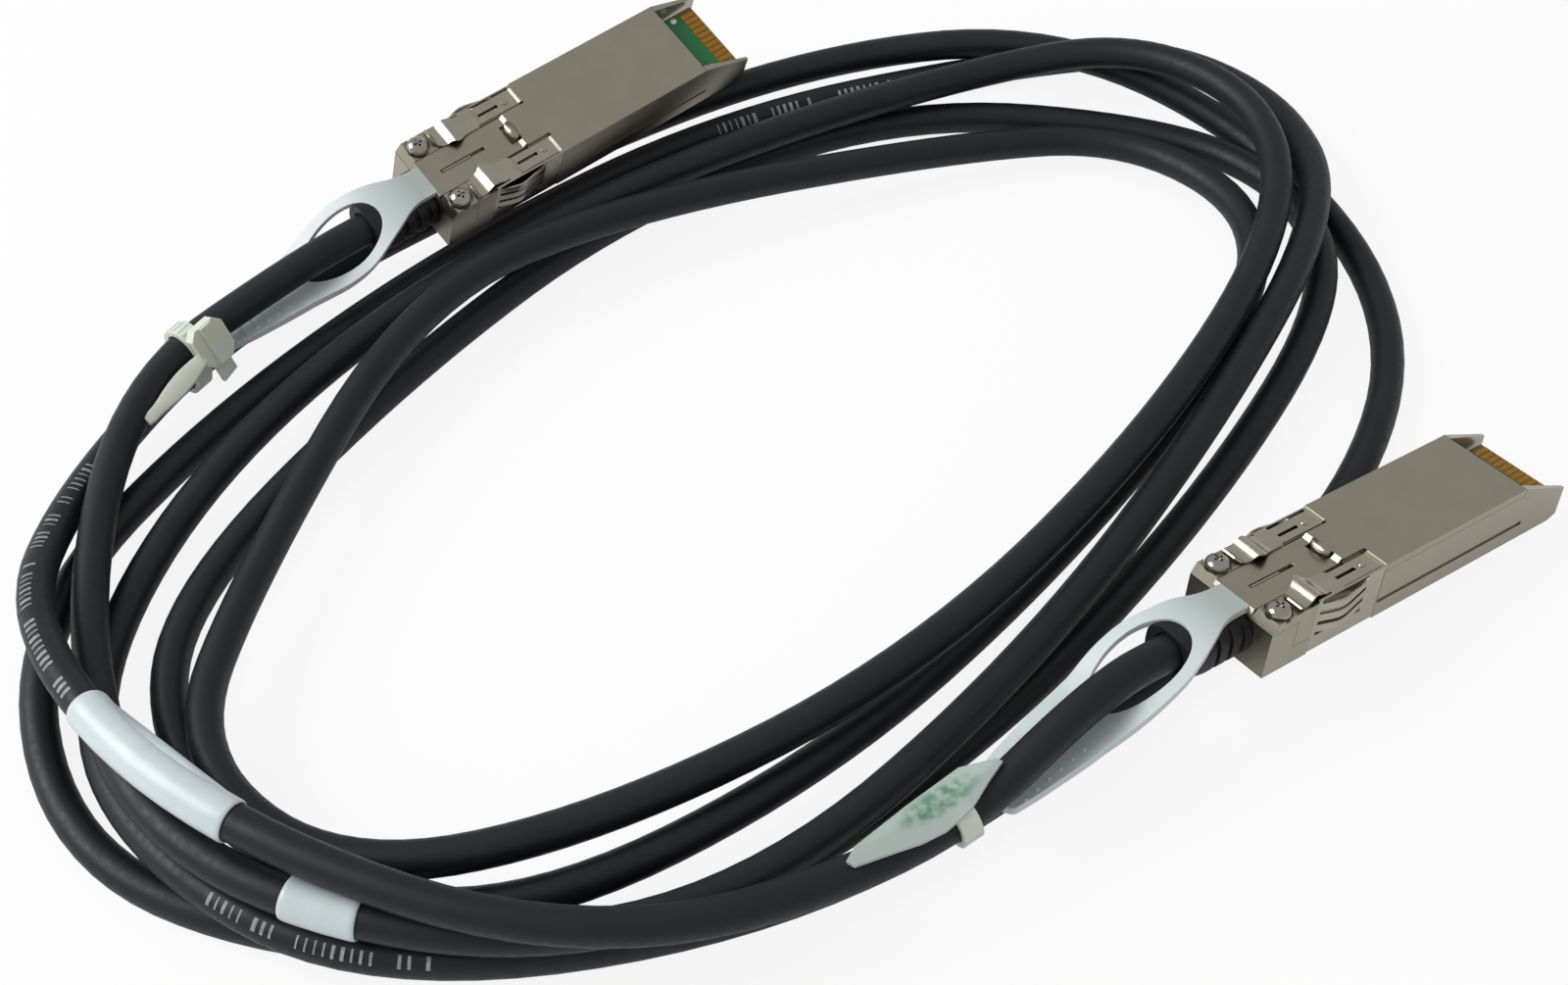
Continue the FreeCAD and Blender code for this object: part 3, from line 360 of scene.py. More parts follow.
def declare(piece, replaces=None, body="cable_set"):
    """Say what a piece rides on, and hide the CAD piece that it stands for."""
    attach(piece, body)
    if replaces:
        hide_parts(replaces)


def new_piece(name, mesh, material, replaces=None, body="cable_set"):
    """Link a mesh as a piece of the object."""
    piece = linked(name, mesh)
    coat(mesh, material)
    declare(piece, replaces, body)
    return piece


def bridge(work, loops):
    """Faces between each ring of points and the next."""
    for loop, after in zip(loops, loops[1:]):
        for k in range(len(loop)):
            j = (k + 1) % len(loop)
            work.faces.new((loop[k], loop[j], after[j], after[k]))


def outward(work):
    bmesh.ops.recalc_face_normals(work, faces=work.faces)


def mesh_of(work, smooth=False):
    """Mesh of a bmesh, which is let go."""
    mesh = bpy.data.meshes.new("shape")
    work.to_mesh(mesh)
    work.free()
    if smooth:
        for face in mesh.polygons:
            face.use_smooth = True
    return mesh


def circle(sides):
    """Cosine and sine at each step round a circle."""
    turns = [2 * pi * k / sides for k in range(sides)]
    return [(cos(turn), sin(turn)) for turn in turns]


def sleeve_mesh(middle, half):
    """Tube along the cable about a distance, closed down to the jacket at its ends."""
    inner = CABLE_RADIUS / MM + 0.04
    rim = [(half, inner), (half, SLEEVE_RADIUS - 0.16), (half - 0.15, SLEEVE_RADIUS - 0.06),
           (half - 0.5, SLEEVE_RADIUS)]
    rings = [(-x, radius) for x, radius in rim]
    rings += [(0.96 * half * k / 9, SLEEVE_RADIUS) for k in range(-8, 9)] + rim[::-1]
    work = bmesh.new()
    loops = []
    for x, radius in rings:
        point, along = on_cable((middle + x) * MM)
        side = along.cross(Vector((0, 0, 1))).normalized()
        up = side.cross(along)
        loops.append([work.verts.new(point + (side * c + up * s) * radius * MM)
                      for c, s in circle(SLEEVE_SIDES)])
    bridge(work, loops + loops[:1])
    outward(work)
    return mesh_of(work, smooth=True)


for name, (half, shift) in SLEEVES.items():
    low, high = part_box(name)
    middle = nearest_on_cable((low + high) / 2) / MM + shift
    new_piece(name + "_film", sleeve_mesh(middle, half), white_film,
                                  name)

# ==== Module castings ====
# Each plug's base and cover are zinc die castings with satin nickel plate. The plate is warm
# grey, finely matt from the blasted casting, and the rounded edges catch the light.
EDGE = 0.12  # mm, radius of a cast edge under its plate
DECK_Z = 8.2  # mm, level of the rear deck, the screw lands and the slider
COVER_Z = 8.6  # top of the smooth cover
CHANNEL_HALF = 3.3  # half width of the slider's channel in the deck
REAR_LIP_Z = 6.85  # foot of the cover's steep rear edge
SCREW_X = 2.5  # the two screws stand in round pockets
SCREW_Y = 5.05
POCKET_RADIUS = 1.82
POCKET_Z = 7.75  # floor of the pockets that are open to the top
SUNK_POCKET = ((12.7, 17.2), (3.75, 5.6))  # x and y, under the sunk part of each strip
FINGER_POCKET = ((8.7, 16.5), (5.85, 6.7), (2.75, 8.05))  # x, y and z, behind the side fingers


def cad_copy(cad_node):
    """The solid of a CAD piece in its module's millimetres, with its flat faces whole."""
    work = bmesh.new()
    work.from_mesh(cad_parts[cad_node].data)
    bmesh.ops.remove_doubles(work, verts=work.verts, dist=2e-6)
    bmesh.ops.dissolve_limit(work, angle_limit=radians(1.5), verts=work.verts,
                             edges=work.edges)
    work.transform(module_frame(cad_node.split("_")[0]).inverted())
    return work


def in_module(work, side, edge, steps=2, angle=28, crisp=None):
    """Mesh of a shape that is drawn in a module's millimetres. Its sharp edges are rounded,
    save those that crisp() picks, and the millimetres stay as the attribute "spot"."""
    weight = work.edges.layers.float.new("bevel_weight_edge")
    for line in work.edges:
        if len(line.link_faces) == 2 and line.calc_face_angle(0) > radians(angle):
            plain = crisp and crisp((line.verts[0].co + line.verts[1].co) / 2)
            line[weight] = 0.0 if plain else 1.0
            line.smooth = not plain
    mesh = mesh_of(work, smooth=True)
    if "custom_normal" in mesh.attributes:
        mesh.attributes.remove(mesh.attributes["custom_normal"])
    holder = linked("shape", mesh)
    bevel = holder.modifiers.new("edges", "BEVEL")
    bevel.width = edge
    bevel.segments = steps
    bevel.limit_method = "WEIGHT"
    bevel.use_clamp_overlap = True
    bevel.harden_normals = True
    rounded = baked(holder)
    bpy.data.objects.remove(holder)
    spots = rounded.attributes.new("spot", "FLOAT_VECTOR", "POINT")
    for vertex, spot in zip(rounded.vertices, spots.data):
        spot.vector = vertex.co
    rounded.transform(module_frame(side))
    return rounded


def cut_out(work, cutter):
    """Take one closed shape out of another."""
    holders = []
    for shape in (work, cutter):
        outward(shape)
        holders.append(linked("closed", mesh_of(shape)))
    cut = holders[0].modifiers.new("cut", "BOOLEAN")
    cut.operation = "DIFFERENCE"
    cut.object = holders[1]
    cut.solver = "EXACT"
    work = bmesh.new()
    work.from_mesh(baked(holders[0]))
    for holder in holders:
        bpy.data.objects.remove(holder)
    if not work.faces:
        raise RuntimeError("a cut left nothing of its shape: the cutter's parts may touch")
    return work


def lathe(work, x, y, profile, sides=32):
    """Turned shape about an upright axis, from its lower rim in to the middle of its top."""
    loops = [[work.verts.new((x + r * c, y + r * s, z)) for c, s in circle(sides)]
             for r, z in profile[:-1]]
    crown = work.verts.new((x, y, profile[-1][1]))
    work.faces.new(loops[0][::-1])
    bridge(work, loops)
    for k in range(sides):
        work.faces.new((loops[-1][k], loops[-1][(k + 1) % sides], crown))


def raised(work, outline, low, high):
    """Closed block of a plan outline."""
    base = [work.verts.new((x, y, low)) for x, y in outline]
    top = [work.verts.new((x, y, high)) for x, y in outline]
    work.faces.new(base[::-1])
    work.faces.new(top)
    bridge(work, [base, top])
    return base + top


def block(work, xs, ys, low, high, sign=1):
    """Closed block of a rectangle, on the side of the module's middle with this sign."""
    plan = [(xs[0], ys[0]), (xs[1], ys[0]), (xs[1], ys[1]), (xs[0], ys[1])]
    return raised(work, [(x, sign * y) for x, y in plan][::sign], low, high)


def channel_edge(middle):
    """The channel's own edges stay crisp, so that the slider runs nearly flush in it."""
    return abs(abs(middle.y) - CHANNEL_HALF) < 0.02 and middle.x < 12 and middle.z > 7


# Nickel over a blasted casting: a warm grey with a broad, soft gleam and a very fine grain.
nickel, tree = new_material("satin_nickel_plate")
place = node(tree, "ShaderNodeTexCoord").outputs["Object"]
cloud = node(tree, "ShaderNodeTexNoise", {"Vector": place, "Scale": per(4.0), "Detail": 4.0})
blast = node(tree, "ShaderNodeTexNoise", {"Vector": place, "Scale": per(0.2), "Detail": 3.0})
colour = node(tree, "ShaderNodeMix", {0: cloud, 6: linear("#a09a8a"),
                                      7: linear("#aaa595")}, data_type="RGBA")
gloss = node(tree, "ShaderNodeMapRange", {0: cloud, 1: 0.3, 2: 0.7, 3: 0.27, 4: 0.33})
bump = node(tree, "ShaderNodeBump", {"Height": blast, "Distance": 0.012 * MM, "Strength": 0.3})
shader = node(tree, "ShaderNodeBsdfPrincipled", {
    "Base Color": colour.outputs[2], "Metallic": 1.0, "Roughness": gloss,
    "Normal": bump})
node(tree, "ShaderNodeOutputMaterial", {"Surface": shader})

for side in MODULES:
    for name in ("base_shell", "top_cover"):
        cad_node = side + "_" + name
        work = cad_copy(cad_node)
        if name == "top_cover":
            for vert in work.verts:
                if vert.co.x < 0.1 and 7.0 < vert.co.z < 8.0:
                    vert.co.z = REAR_LIP_Z
            pockets = bmesh.new()
            for sign in (-1, 1):
                lathe(pockets, SCREW_X, sign * SCREW_Y,
                      [(POCKET_RADIUS, POCKET_Z), (POCKET_RADIUS, COVER_Z), (0, COVER_Z)], 40)
                block(pockets, *SUNK_POCKET, POCKET_Z, COVER_Z, sign)
                block(pockets, *FINGER_POCKET[:2], *FINGER_POCKET[2], sign)
            work = cut_out(work, pockets)
        casting = in_module(work, side, EDGE, crisp=channel_edge)
        new_piece(cad_node + "_casting", casting, nickel, cad_node)

# ==== Spring collars ====
# Tempered steel sheet, cut and folded round each module's rear half. Its bowed fingers bear on
# the port's walls, and two folded hooks reach in over the slider. The plate on it is bright.
SHEET = 0.25
COLLAR_FRONT = 19.95
COLLAR_REAR = 7.8  # only the hooks reach further back
STRIP_Z = 8.5  # top of the strips, a little lower than the smooth cover
STRIP_INNER = 3.05
WALL_Y = 6.77
COLLAR_LOW = 0.03
WINDOW = (8.5, 16.7)  # the bowed fingers lie between these
SIDE_SLOTS = (8.06, 6.34, 4.62, 2.9)  # heights of the slots in each wall
FLOOR_SLOTS = (5.37, 2.68, 0.0, -2.68, -5.37)
SLOT_HALF = 0.29
BOW = [(8.5, 0), (9.4, 0.3), (10.3, 0.6), (11.1, 0.83), (11.8, 0.9), (12.6, 0.84),
       (14.0, 0.56), (15.4, 0.27), (16.7, 0)]
FLOOR_BOW_SHARE = 0.65
SUNK = [(12.4, 0), (12.6, -0.24), (19.3, -0.24), (19.7, 0)]  # the springy part of each strip
SUNK_INNER = 3.5  # it keeps clear of the smooth cover's tongue
GAP = (6.25, 6.5)  # cut between that part and the rim
TOP_SLOT = (12.9, 16.4)
TOP_SLOT_Y = (4.5, 5.0)
HOOK = [(4.7, 0.38), (5.1, 0.1), (5.5, 0), (6.0, 0), (6.3, 0.1), (6.7, 0.4), (7.1, 0.74),
        (7.4, 0.94), (7.55, 0.98), (7.8, 0.95), (8.5, 0.62), (9.4, 0.14), (10.3, 0)]  # rise
HOOK_FRONT = 10.3
HOOK_INNER = [(4.7, 4.35), (5.1, 3.5), (5.7, 3.15), (6.9, 2.9), (7.55, 2.3), (7.8, 2.3),
              (8.5, 2.5), (9.4, 2.95), (HOOK_FRONT, STRIP_INNER)]
HOOK_OUTER = [(4.7, 6.6), (7.55, 6.4), (HOOK_FRONT, GAP[0])]
STRIP_LINES = 4  # lines of the section on each springy strip
TOP_LINES = 7  # and on each side of the top, with the rim and its bend
DIMPLE = (17.6, 4.75)  # x and y of the small dome near each strip's front end


def along_table(table, x):
    """Value at x on straight lines between a table's points, and level beyond its ends."""
    if x <= table[0][0]:
        return table[0][1]
    for (x0, v0), (x1, v1) in zip(table, table[1:]):
        if x <= x1:
            return v0 + (v1 - v0) * (x - x0) / (x1 - x0)
    return table[-1][1]


def collar_sheet():
    """The collar's outer surface as one folded sheet with its cuts."""
    half = [(STRIP_INNER, STRIP_Z), (TOP_SLOT_Y[0], STRIP_Z), (TOP_SLOT_Y[1], STRIP_Z),
            (GAP[0], STRIP_Z), (GAP[1], STRIP_Z), (WALL_Y - 0.06, STRIP_Z - 0.02),
            (WALL_Y, STRIP_Z - 0.1)]
    slots = set()
    for z in SIDE_SLOTS:
        slots.add(len(half))
        half += [(WALL_Y, z + SLOT_HALF), (WALL_Y, z - SLOT_HALF)]
    half += [(WALL_Y, COLLAR_LOW + 0.2), (WALL_Y - 0.2, COLLAR_LOW)]
    floor_line = []
    for y in FLOOR_SLOTS:
        slots.add(len(half) + len(floor_line))
        floor_line += [(y + SLOT_HALF, COLLAR_LOW), (y - SLOT_HALF, COLLAR_LOW)]
    section = half + floor_line + [(-y, z) for y, z in reversed(half)]
    columns = sorted({x for table in (BOW, SUNK, HOOK) for x, v in table}
                     | set(TOP_SLOT) | {COLLAR_FRONT, DIMPLE[0]})
    work = bmesh.new()
    grid = {}
    for i, (y, z) in enumerate(section):
        near_end = min(i, len(section) - 1 - i)
        for x in columns:
            if x < COLLAR_REAR and near_end >= STRIP_LINES:
                continue
            at_y, at_z = y, z
            if near_end < STRIP_LINES:
                if x < HOOK_FRONT:
                    share = (abs(y) - STRIP_INNER) / (GAP[0] - STRIP_INNER)
                    inner, outer = along_table(HOOK_INNER, x), along_table(HOOK_OUTER, x)
                    at_y = copysign(inner + (outer - inner) * share, y)
                    at_z = z + along_table(HOOK, x)
                else:
                    at_z = z + along_table(SUNK, x)
                    if near_end == 0 and x >= SUNK[0][0]:
                        at_y = copysign(SUNK_INNER, y)
            elif z == COLLAR_LOW and abs(y) < FLOOR_SLOTS[0]:
                at_z = z - FLOOR_BOW_SHARE * along_table(BOW, x)
            elif near_end >= TOP_LINES and SIDE_SLOTS[-1] < z < SIDE_SLOTS[0]:
                at_y = copysign(WALL_Y + along_table(BOW, x), y)
            grid[i, x] = work.verts.new((x, at_y, at_z))
    for i in range(len(section) - 1):
        near_end = min(i, len(section) - 2 - i)
        for x0, x1 in zip(columns, columns[1:]):
            corners = [(i, x0), (i, x1), (i + 1, x1), (i + 1, x0)]
            if near_end == 1:
                cut = TOP_SLOT[0] <= x0 and x1 <= TOP_SLOT[1]
            elif near_end == STRIP_LINES - 1:
                cut = x1 <= HOOK_FRONT or SUNK[0][0] <= x0 < SUNK[2][0]
            else:
                cut = near_end in slots and WINDOW[0] <= x0 and x1 <= WINDOW[1]
            if not cut and all(corner in grid for corner in corners):
                work.faces.new([grid[corner] for corner in corners])
    bmesh.ops.delete(work, geom=[v for v in work.verts if not v.link_faces], context="VERTS")
    return work


def folded(work, thickness):
    """Give a surface its thickness, inwards."""
    holder = linked("sheet", mesh_of(work))
    solid = holder.modifiers.new("thickness", "SOLIDIFY")
    solid.thickness = thickness
    solid.offset = -1
    solid.use_even_offset = True
    work = bmesh.new()
    work.from_mesh(baked(holder))
    bpy.data.objects.remove(holder)
    return work


# Plated spring sheet: brighter than the castings and smoother, nearly free of grain.
spring_steel, tree = new_material("bright_spring_steel")
place = node(tree, "ShaderNodeTexCoord").outputs["Object"]
cloud = node(tree, "ShaderNodeTexNoise", {"Vector": place, "Scale": per(1.8), "Detail": 4.0})
colour = node(tree, "ShaderNodeMix", {0: cloud, 6: linear("#a7a294"),
                                      7: linear("#b9b4a4")}, data_type="RGBA")
gloss = node(tree, "ShaderNodeMapRange", {0: cloud, 1: 0.3, 2: 0.7, 3: 0.18, 4: 0.27})
shader = node(tree, "ShaderNodeBsdfPrincipled", {
    "Base Color": colour.outputs[2], "Metallic": 1.0, "Roughness": gloss})
node(tree, "ShaderNodeOutputMaterial", {"Surface": shader})

for side in MODULES:
    work = folded(collar_sheet(), SHEET)
    for sign in (-1, 1):
        lathe(work, DIMPLE[0], sign * DIMPLE[1], [(0.5, STRIP_Z - 0.3), (0.5, STRIP_Z - 0.2),
              (0.42, STRIP_Z - 0.08), (0.25, STRIP_Z - 0.01), (0, STRIP_Z + 0.01)], 20)
    outward(work)
    cad_node = side + "_spring_collar"
    new_piece(cad_node + "_sheet", in_module(work, side, 0.045), spring_steel,
              cad_node)
    coat(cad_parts[side + "_return_spring"].data, spring_steel)

# ==== Latch sliders and posts ====
# A stamped and plated steel plate slides on each cover's deck. Its slot runs on the cover's
# rib, its fork lies round the latch post, and two ramps beside the post lift the port's spring.
SLIDER_HALF = 3.2
SLIDER_LOW = 7.6
SLIDER_FRONT = 15.9
SLIDER_SLOT = (2.9, 10.5, 0.28)  # rear and front end, and half width
SLIDER_LEAN = 0.35  # its rear edge leans forward by this
SHOULDER_X = 12.1  # from here on it is a little narrower
SHOULDER_HALF = 3.0
FORK_X = 14.3
FORK_HALF = 1.6
RAMP_REAR = 15.25
RAMP_SIDES = (1.7, 2.95)
RAMP_TOP = 8.78
LUG = ((12.9, 13.5), (-0.8, 0.8))  # the lug under the plate presses on the return spring
LUG_LOW = 5.9
POST = (15.3, 0.68, 1.45, 9.19)  # middle, half length, half width and top of the post


def pierced(work, xs, ys, missing, low, high):
    """Plate on a grid of cells in plan, without the cells for which missing(x, y) holds."""
    present = {(i, j) for i in range(len(xs) - 1) for j in range(len(ys) - 1)
               if not missing((xs[i] + xs[i + 1]) / 2, (ys[j] + ys[j + 1]) / 2)}
    points = {}

    def vert(i, j, z):
        if (i, j, z) not in points:
            points[i, j, z] = work.verts.new((xs[i], ys[j], z))
        return points[i, j, z]

    for i, j in sorted(present):
        corners = [(i, j), (i + 1, j), (i + 1, j + 1), (i, j + 1)]
        work.faces.new([vert(*corner, high) for corner in corners])
        work.faces.new([vert(*corners[k], low) for k in (0, 3, 2, 1)])
        for (di, dj), a, b in zip(((0, -1), (1, 0), (0, 1), (-1, 0)), corners,
                                  corners[1:] + corners[:1]):
            if (i + di, j + dj) not in present:
                work.faces.new((vert(*a, low), vert(*b, low), vert(*b, high), vert(*a, high)))
    return points


for side in MODULES:
    work = bmesh.new()
    slot_rear, slot_front, slot_half = SLIDER_SLOT
    ys = [slot_half, FORK_HALF, SHOULDER_HALF, SLIDER_HALF]
    points = pierced(work, [0.0, slot_rear, slot_front, SHOULDER_X, FORK_X, SLIDER_FRONT],
                     [-y for y in reversed(ys)] + ys,
                     lambda x, y: (abs(y) < slot_half and slot_rear < x < slot_front)
                     or (x > FORK_X and abs(y) < FORK_HALF)
                     or (x > SHOULDER_X and abs(y) > SHOULDER_HALF), SLIDER_LOW, DECK_Z)
    for (i, j, z), vert in points.items():
        if i == 0 and z == DECK_Z:
            vert.co.x = SLIDER_LEAN
    for sign in (-1, 1):
        ramp = block(work, (RAMP_REAR, SLIDER_FRONT - 0.03), RAMP_SIDES, DECK_Z - 0.1, RAMP_TOP,
                     sign)
        for vert in ramp:
            if vert.co.x < RAMP_REAR + 0.05 and vert.co.z > DECK_Z:
                vert.co.z = DECK_Z + 0.02
    block(work, *LUG, LUG_LOW, SLIDER_LOW + 0.1)
    bmesh.ops.dissolve_limit(work, angle_limit=radians(1), verts=work.verts, edges=work.edges)
    outward(work)
    cad_node = side + "_latch_slider"
    plate = in_module(work, side, 0.08, crisp=lambda middle:
                      abs(middle.y) > SLIDER_HALF - 0.05 and middle.x < SHOULDER_X - 0.1)
    new_piece(cad_node + "_plate", plate, nickel, cad_node, side + "_latch")

    work = bmesh.new()
    middle, reach, width, top = POST
    outline = [(middle + reach * copysign(abs(c) ** 0.75, c),
                width * copysign(abs(s) ** 0.9, s)) for c, s in circle(28)]
    raised(work, outline, SLIDER_LOW, top)
    new_piece(side + "_latch_post", in_module(work, side, 0.3, steps=4, angle=50), nickel)

# ==== Screws ====
# Two small pan-head screws with a cross recess hold each cover down at its rear corners. They
# are bright nickel, so their domes mirror the lamp.
HEAD = [(1.45, 7.76), (1.5, 8.25), (1.58, 8.36), (1.58, 8.5), (1.5, 8.75), (1.33, 8.98),
        (1.06, 9.18), (0.72, 9.32), (0.36, 9.39), (0, 9.41)]
RECESS = (0.66, 0.16, 9.0)  # reach, half width and floor of the cross
SCREW_FOOT = 3.6

# Barrel-plated nickel, nearly a mirror.
screw_steel, tree = new_material("bright_nickel_screw")
place = node(tree, "ShaderNodeTexCoord").outputs["Object"]
wear = node(tree, "ShaderNodeTexNoise", {"Vector": place, "Scale": per(0.7), "Detail": 3.0})
gloss = node(tree, "ShaderNodeMapRange", {0: wear, 1: 0.3, 2: 0.7, 3: 0.12, 4: 0.22})
shader = node(tree, "ShaderNodeBsdfPrincipled", {
    "Base Color": linear("#a8a59f"), "Metallic": 1.0, "Roughness": gloss})
node(tree, "ShaderNodeOutputMaterial", {"Surface": shader})


def screw_mesh():
    """One screw about the origin of x and y, with its cross cut out of the dome."""
    work = bmesh.new()
    lathe(work, 0, 0, HEAD, 40)
    long, short, floor_z = RECESS
    corner = [(long, short), (short, short), (short, long)]
    cross = []
    for quarter in range(4):
        cross += corner
        corner = [(-y, x) for x, y in corner]
    cutter = bmesh.new()
    raised(cutter, cross, floor_z, 10)
    work = cut_out(work, cutter)
    lathe(work, 0, 0, [(0.5, SCREW_FOOT), (0.55, SCREW_FOOT + 0.1), (0.55, 7.9), (0, 7.9)], 20)
    outward(work)
    return mesh_of(work)


row_tree, given = new_tree("row_of_one_piece", {
    "Start": "Vector", "Step": "Vector", "Count": "Int", "Material": "Material"})
row = node(row_tree, "GeometryNodeMeshLine", {
    "Count": given["Count"], "Start Location": given["Start"], "Offset": given["Step"]},
    mode="OFFSET")
spread(row_tree, given, {"Points": row, "Instance": given["Geometry"]})


def piece_row(name, mesh, side, start, step, count, material, replaces=None):
    """A row of like pieces drawn in a module's millimetres."""
    row = grown(name, row_tree, mesh, {"Start": start, "Step": step, "Count": count,
                                       "Material": material})
    row.data.transform(module_frame(side))
    declare(row, replaces)


for side in MODULES:
    cad_node = side + "_cover_screws"
    screw = screw_mesh()
    for face in screw.polygons:
        face.use_smooth = abs(face.normal.z) > 0.02 or face.center.xy.length > 1.3
    piece_row(cad_node + "_pair", screw, side, (SCREW_X, -SCREW_Y, 0), (0, 2 * SCREW_Y, 0), 2,
              screw_steel, cad_node)

# ==== Cards and contacts ====
# A printed circuit card ends in ten gold fingers on each face. Green solder mask stops short of
# them and the bare laminate shows between. A tinned pad lies near each end of the green band.
CARD_TOP = 4.6
CARD_LOW = 3.6
CARD_FRONT = 54.9
MASK_END = 52.0  # mm from the module's rear face
PAD = (2.45, 0.76, 0.06)  # length, width and thickness
PAD_PITCH = 1.0
PADS = 10
TINNED_X = 50.6
TINNED_Y = 4.9

# Glass-epoxy laminate under solder mask: glossy green, mottled by the weave, brown where bare.
# The spot is in millimetres, so that the mottle is about 0.45 mm fine.
laminate, tree = new_material("solder_masked_laminate")
spot = node(tree, "ShaderNodeAttribute", attribute_name="spot")
parts = node(tree, "ShaderNodeSeparateXYZ", {0: spot.outputs["Vector"]})
weave = node(tree, "ShaderNodeTexNoise", {"Vector": spot.outputs["Vector"], "Scale": 2.2,
                                          "Detail": 4.0})
edge = node(tree, "ShaderNodeMath", {0: weave, 1: 0.1, 2: parts}, operation="MULTIPLY_ADD")
bare = node(tree, "ShaderNodeMath", {0: edge, 1: MASK_END + 0.05}, operation="GREATER_THAN")
mask = node(tree, "ShaderNodeMix", {0: weave, 6: linear("#0b5a2d"),
                                    7: linear("#178449")}, data_type="RGBA")
colour = node(tree, "ShaderNodeMix", {0: bare, 6: mask.outputs[2],
                                      7: linear("#6f5220")}, data_type="RGBA")
shader = node(tree, "ShaderNodeBsdfPrincipled", {"Base Color": colour.outputs[2],
                                                 "Roughness": 0.3})
node(tree, "ShaderNodeOutputMaterial", {"Surface": shader})

# Hard gold plate, a dull yellow that is slightly uneven.
gold, tree = new_material("gold_plate")
place = node(tree, "ShaderNodeTexCoord").outputs["Object"]
wear = node(tree, "ShaderNodeTexNoise", {"Vector": place, "Scale": per(0.9), "Detail": 3.0})
colour = node(tree, "ShaderNodeMix", {0: wear, 6: linear("#a1742e"),
                                      7: linear("#b98a3f")}, data_type="RGBA")
shader = node(tree, "ShaderNodeBsdfPrincipled", {
    "Base Color": colour.outputs[2], "Metallic": 1.0, "Roughness": 0.35})
node(tree, "ShaderNodeOutputMaterial", {"Surface": shader})

# Reflowed tin solder, silvery and glossy in patches.
solder, tree = new_material("tinned_solder")
place = node(tree, "ShaderNodeTexCoord").outputs["Object"]
wear = node(tree, "ShaderNodeTexNoise", {"Vector": place, "Scale": per(0.5), "Detail": 3.0})
gloss = node(tree, "ShaderNodeMapRange", {0: wear, 1: 0.3, 2: 0.7, 3: 0.2, 4: 0.4})
shader = node(tree, "ShaderNodeBsdfPrincipled", {
    "Base Color": linear("#d3d6d2"), "Metallic": 1.0, "Roughness": gloss})
node(tree, "ShaderNodeOutputMaterial", {"Surface": shader})

for side in MODULES:
    cad_node = side + "_paddle_card"
    new_piece(cad_node + "_board", in_module(cad_copy(cad_node), side, 0.05), laminate,
              cad_node)
    work = bmesh.new()
    length, width, thickness = PAD
    front = CARD_FRONT - 0.4
    for low in (CARD_TOP, CARD_LOW - thickness):
        block(work, (front - length, front), (-width / 2, width / 2), low, low + thickness)
    piece_row(side + "_contact_pads", mesh_of(work), side, (0, -PAD_PITCH * (PADS - 1) / 2, 0),
              (0, PAD_PITCH, 0), PADS, gold, side + "_edge_contacts")
    work = bmesh.new()
    lathe(work, 0, 0, [(0.62, CARD_TOP), (0.58, CARD_TOP + 0.07), (0.4, CARD_TOP + 0.15),
                       (0, CARD_TOP + 0.19)], 20)
    piece_row(side + "_tinned_pads", mesh_of(work, smooth=True), side, (TINNED_X, -TINNED_Y, 0),
              (0, 2 * TINNED_Y, 0), 2, solder)

# ==== Boots ====
# Soft black moulding on the jacket behind each module, wider than it is high. Three grooves in
# its sides let it bend, and the cable leaves it through a plain round mouth.
BOOT_FRONT = -0.06
BOOT_END = -10.0
BOOT_HALF = (4.15, 3.05)  # half width and half height at the module
BOOT_TIP = (3.7, 2.95)
BOOT_SIDES = 64
GROOVES = (-1.5, -3.6, -5.7)
GROOVE_HALF = 0.38
GROOVE_CUT = 0.5
MOUTH_RADIUS = 2.48
BORE_RADIUS = 2.32

# Moulded thermoplastic rubber, black and dull with a slightly uneven skin.
black_rubber, tree = new_material("black_moulded_rubber")
place = node(tree, "ShaderNodeTexCoord").outputs["Object"]
cloud = node(tree, "ShaderNodeTexNoise", {"Vector": place, "Scale": per(1.5), "Detail": 5.0})
colour = node(tree, "ShaderNodeMix", {0: cloud, 6: linear("#0f1011"),
                                      7: linear("#17181a")}, data_type="RGBA")
bump = node(tree, "ShaderNodeBump", {"Height": cloud, "Distance": 0.04 * MM, "Strength": 0.25})
shader = node(tree, "ShaderNodeBsdfPrincipled", {
    "Base Color": colour.outputs[2], "Roughness": 0.5, "Specular IOR Level": 0.35,
    "Normal": bump})
node(tree, "ShaderNodeOutputMaterial", {"Surface": shader})


def boot_loop(work, x, half, cut=0.0, power=0.72):
    """One ring of the boot: a soft rectangle, cut in at its sides for a groove."""
    loop = []
    for c, s in circle(BOOT_SIDES):
        depth = cut * min(1.0, max(0.0, (abs(c) - 0.45) / 0.2))
        y = (half[0] - depth) * copysign(abs(c) ** power, c)
        z = CABLE_AXIS_Z + half[1] * copysign(abs(s) ** power, s)
        loop.append(work.verts.new((x, y, z)))
    return loop


for side in MODULES:
    rings = [(BOOT_FRONT, 0)]
    for x in GROOVES:
        rings += [(x + GROOVE_HALF, 0), (x + GROOVE_HALF - 0.1, GROOVE_CUT),
                  (x - GROOVE_HALF + 0.1, GROOVE_CUT), (x - GROOVE_HALF, 0)]
    work = bmesh.new()
    loops = [boot_loop(work, x, BOOT_HALF, cut) for x, cut in rings]
    loops.append(boot_loop(work, BOOT_END + 2.6, BOOT_HALF))
    loops.append(boot_loop(work, BOOT_END, BOOT_TIP))
    for x, radius in ((BOOT_END, MOUTH_RADIUS), (BOOT_END + 1.6, MOUTH_RADIUS),
                      (BOOT_END + 1.8, BORE_RADIUS), (BOOT_FRONT, BORE_RADIUS)):
        loops.append(boot_loop(work, x, (radius, radius), power=1))
    bridge(work, loops + loops[:1])
    outward(work)
    cad_node = side + "_strain_boot"
    new_piece(cad_node + "_moulding", in_module(work, side, 0.12, angle=35), black_rubber,
              cad_node)

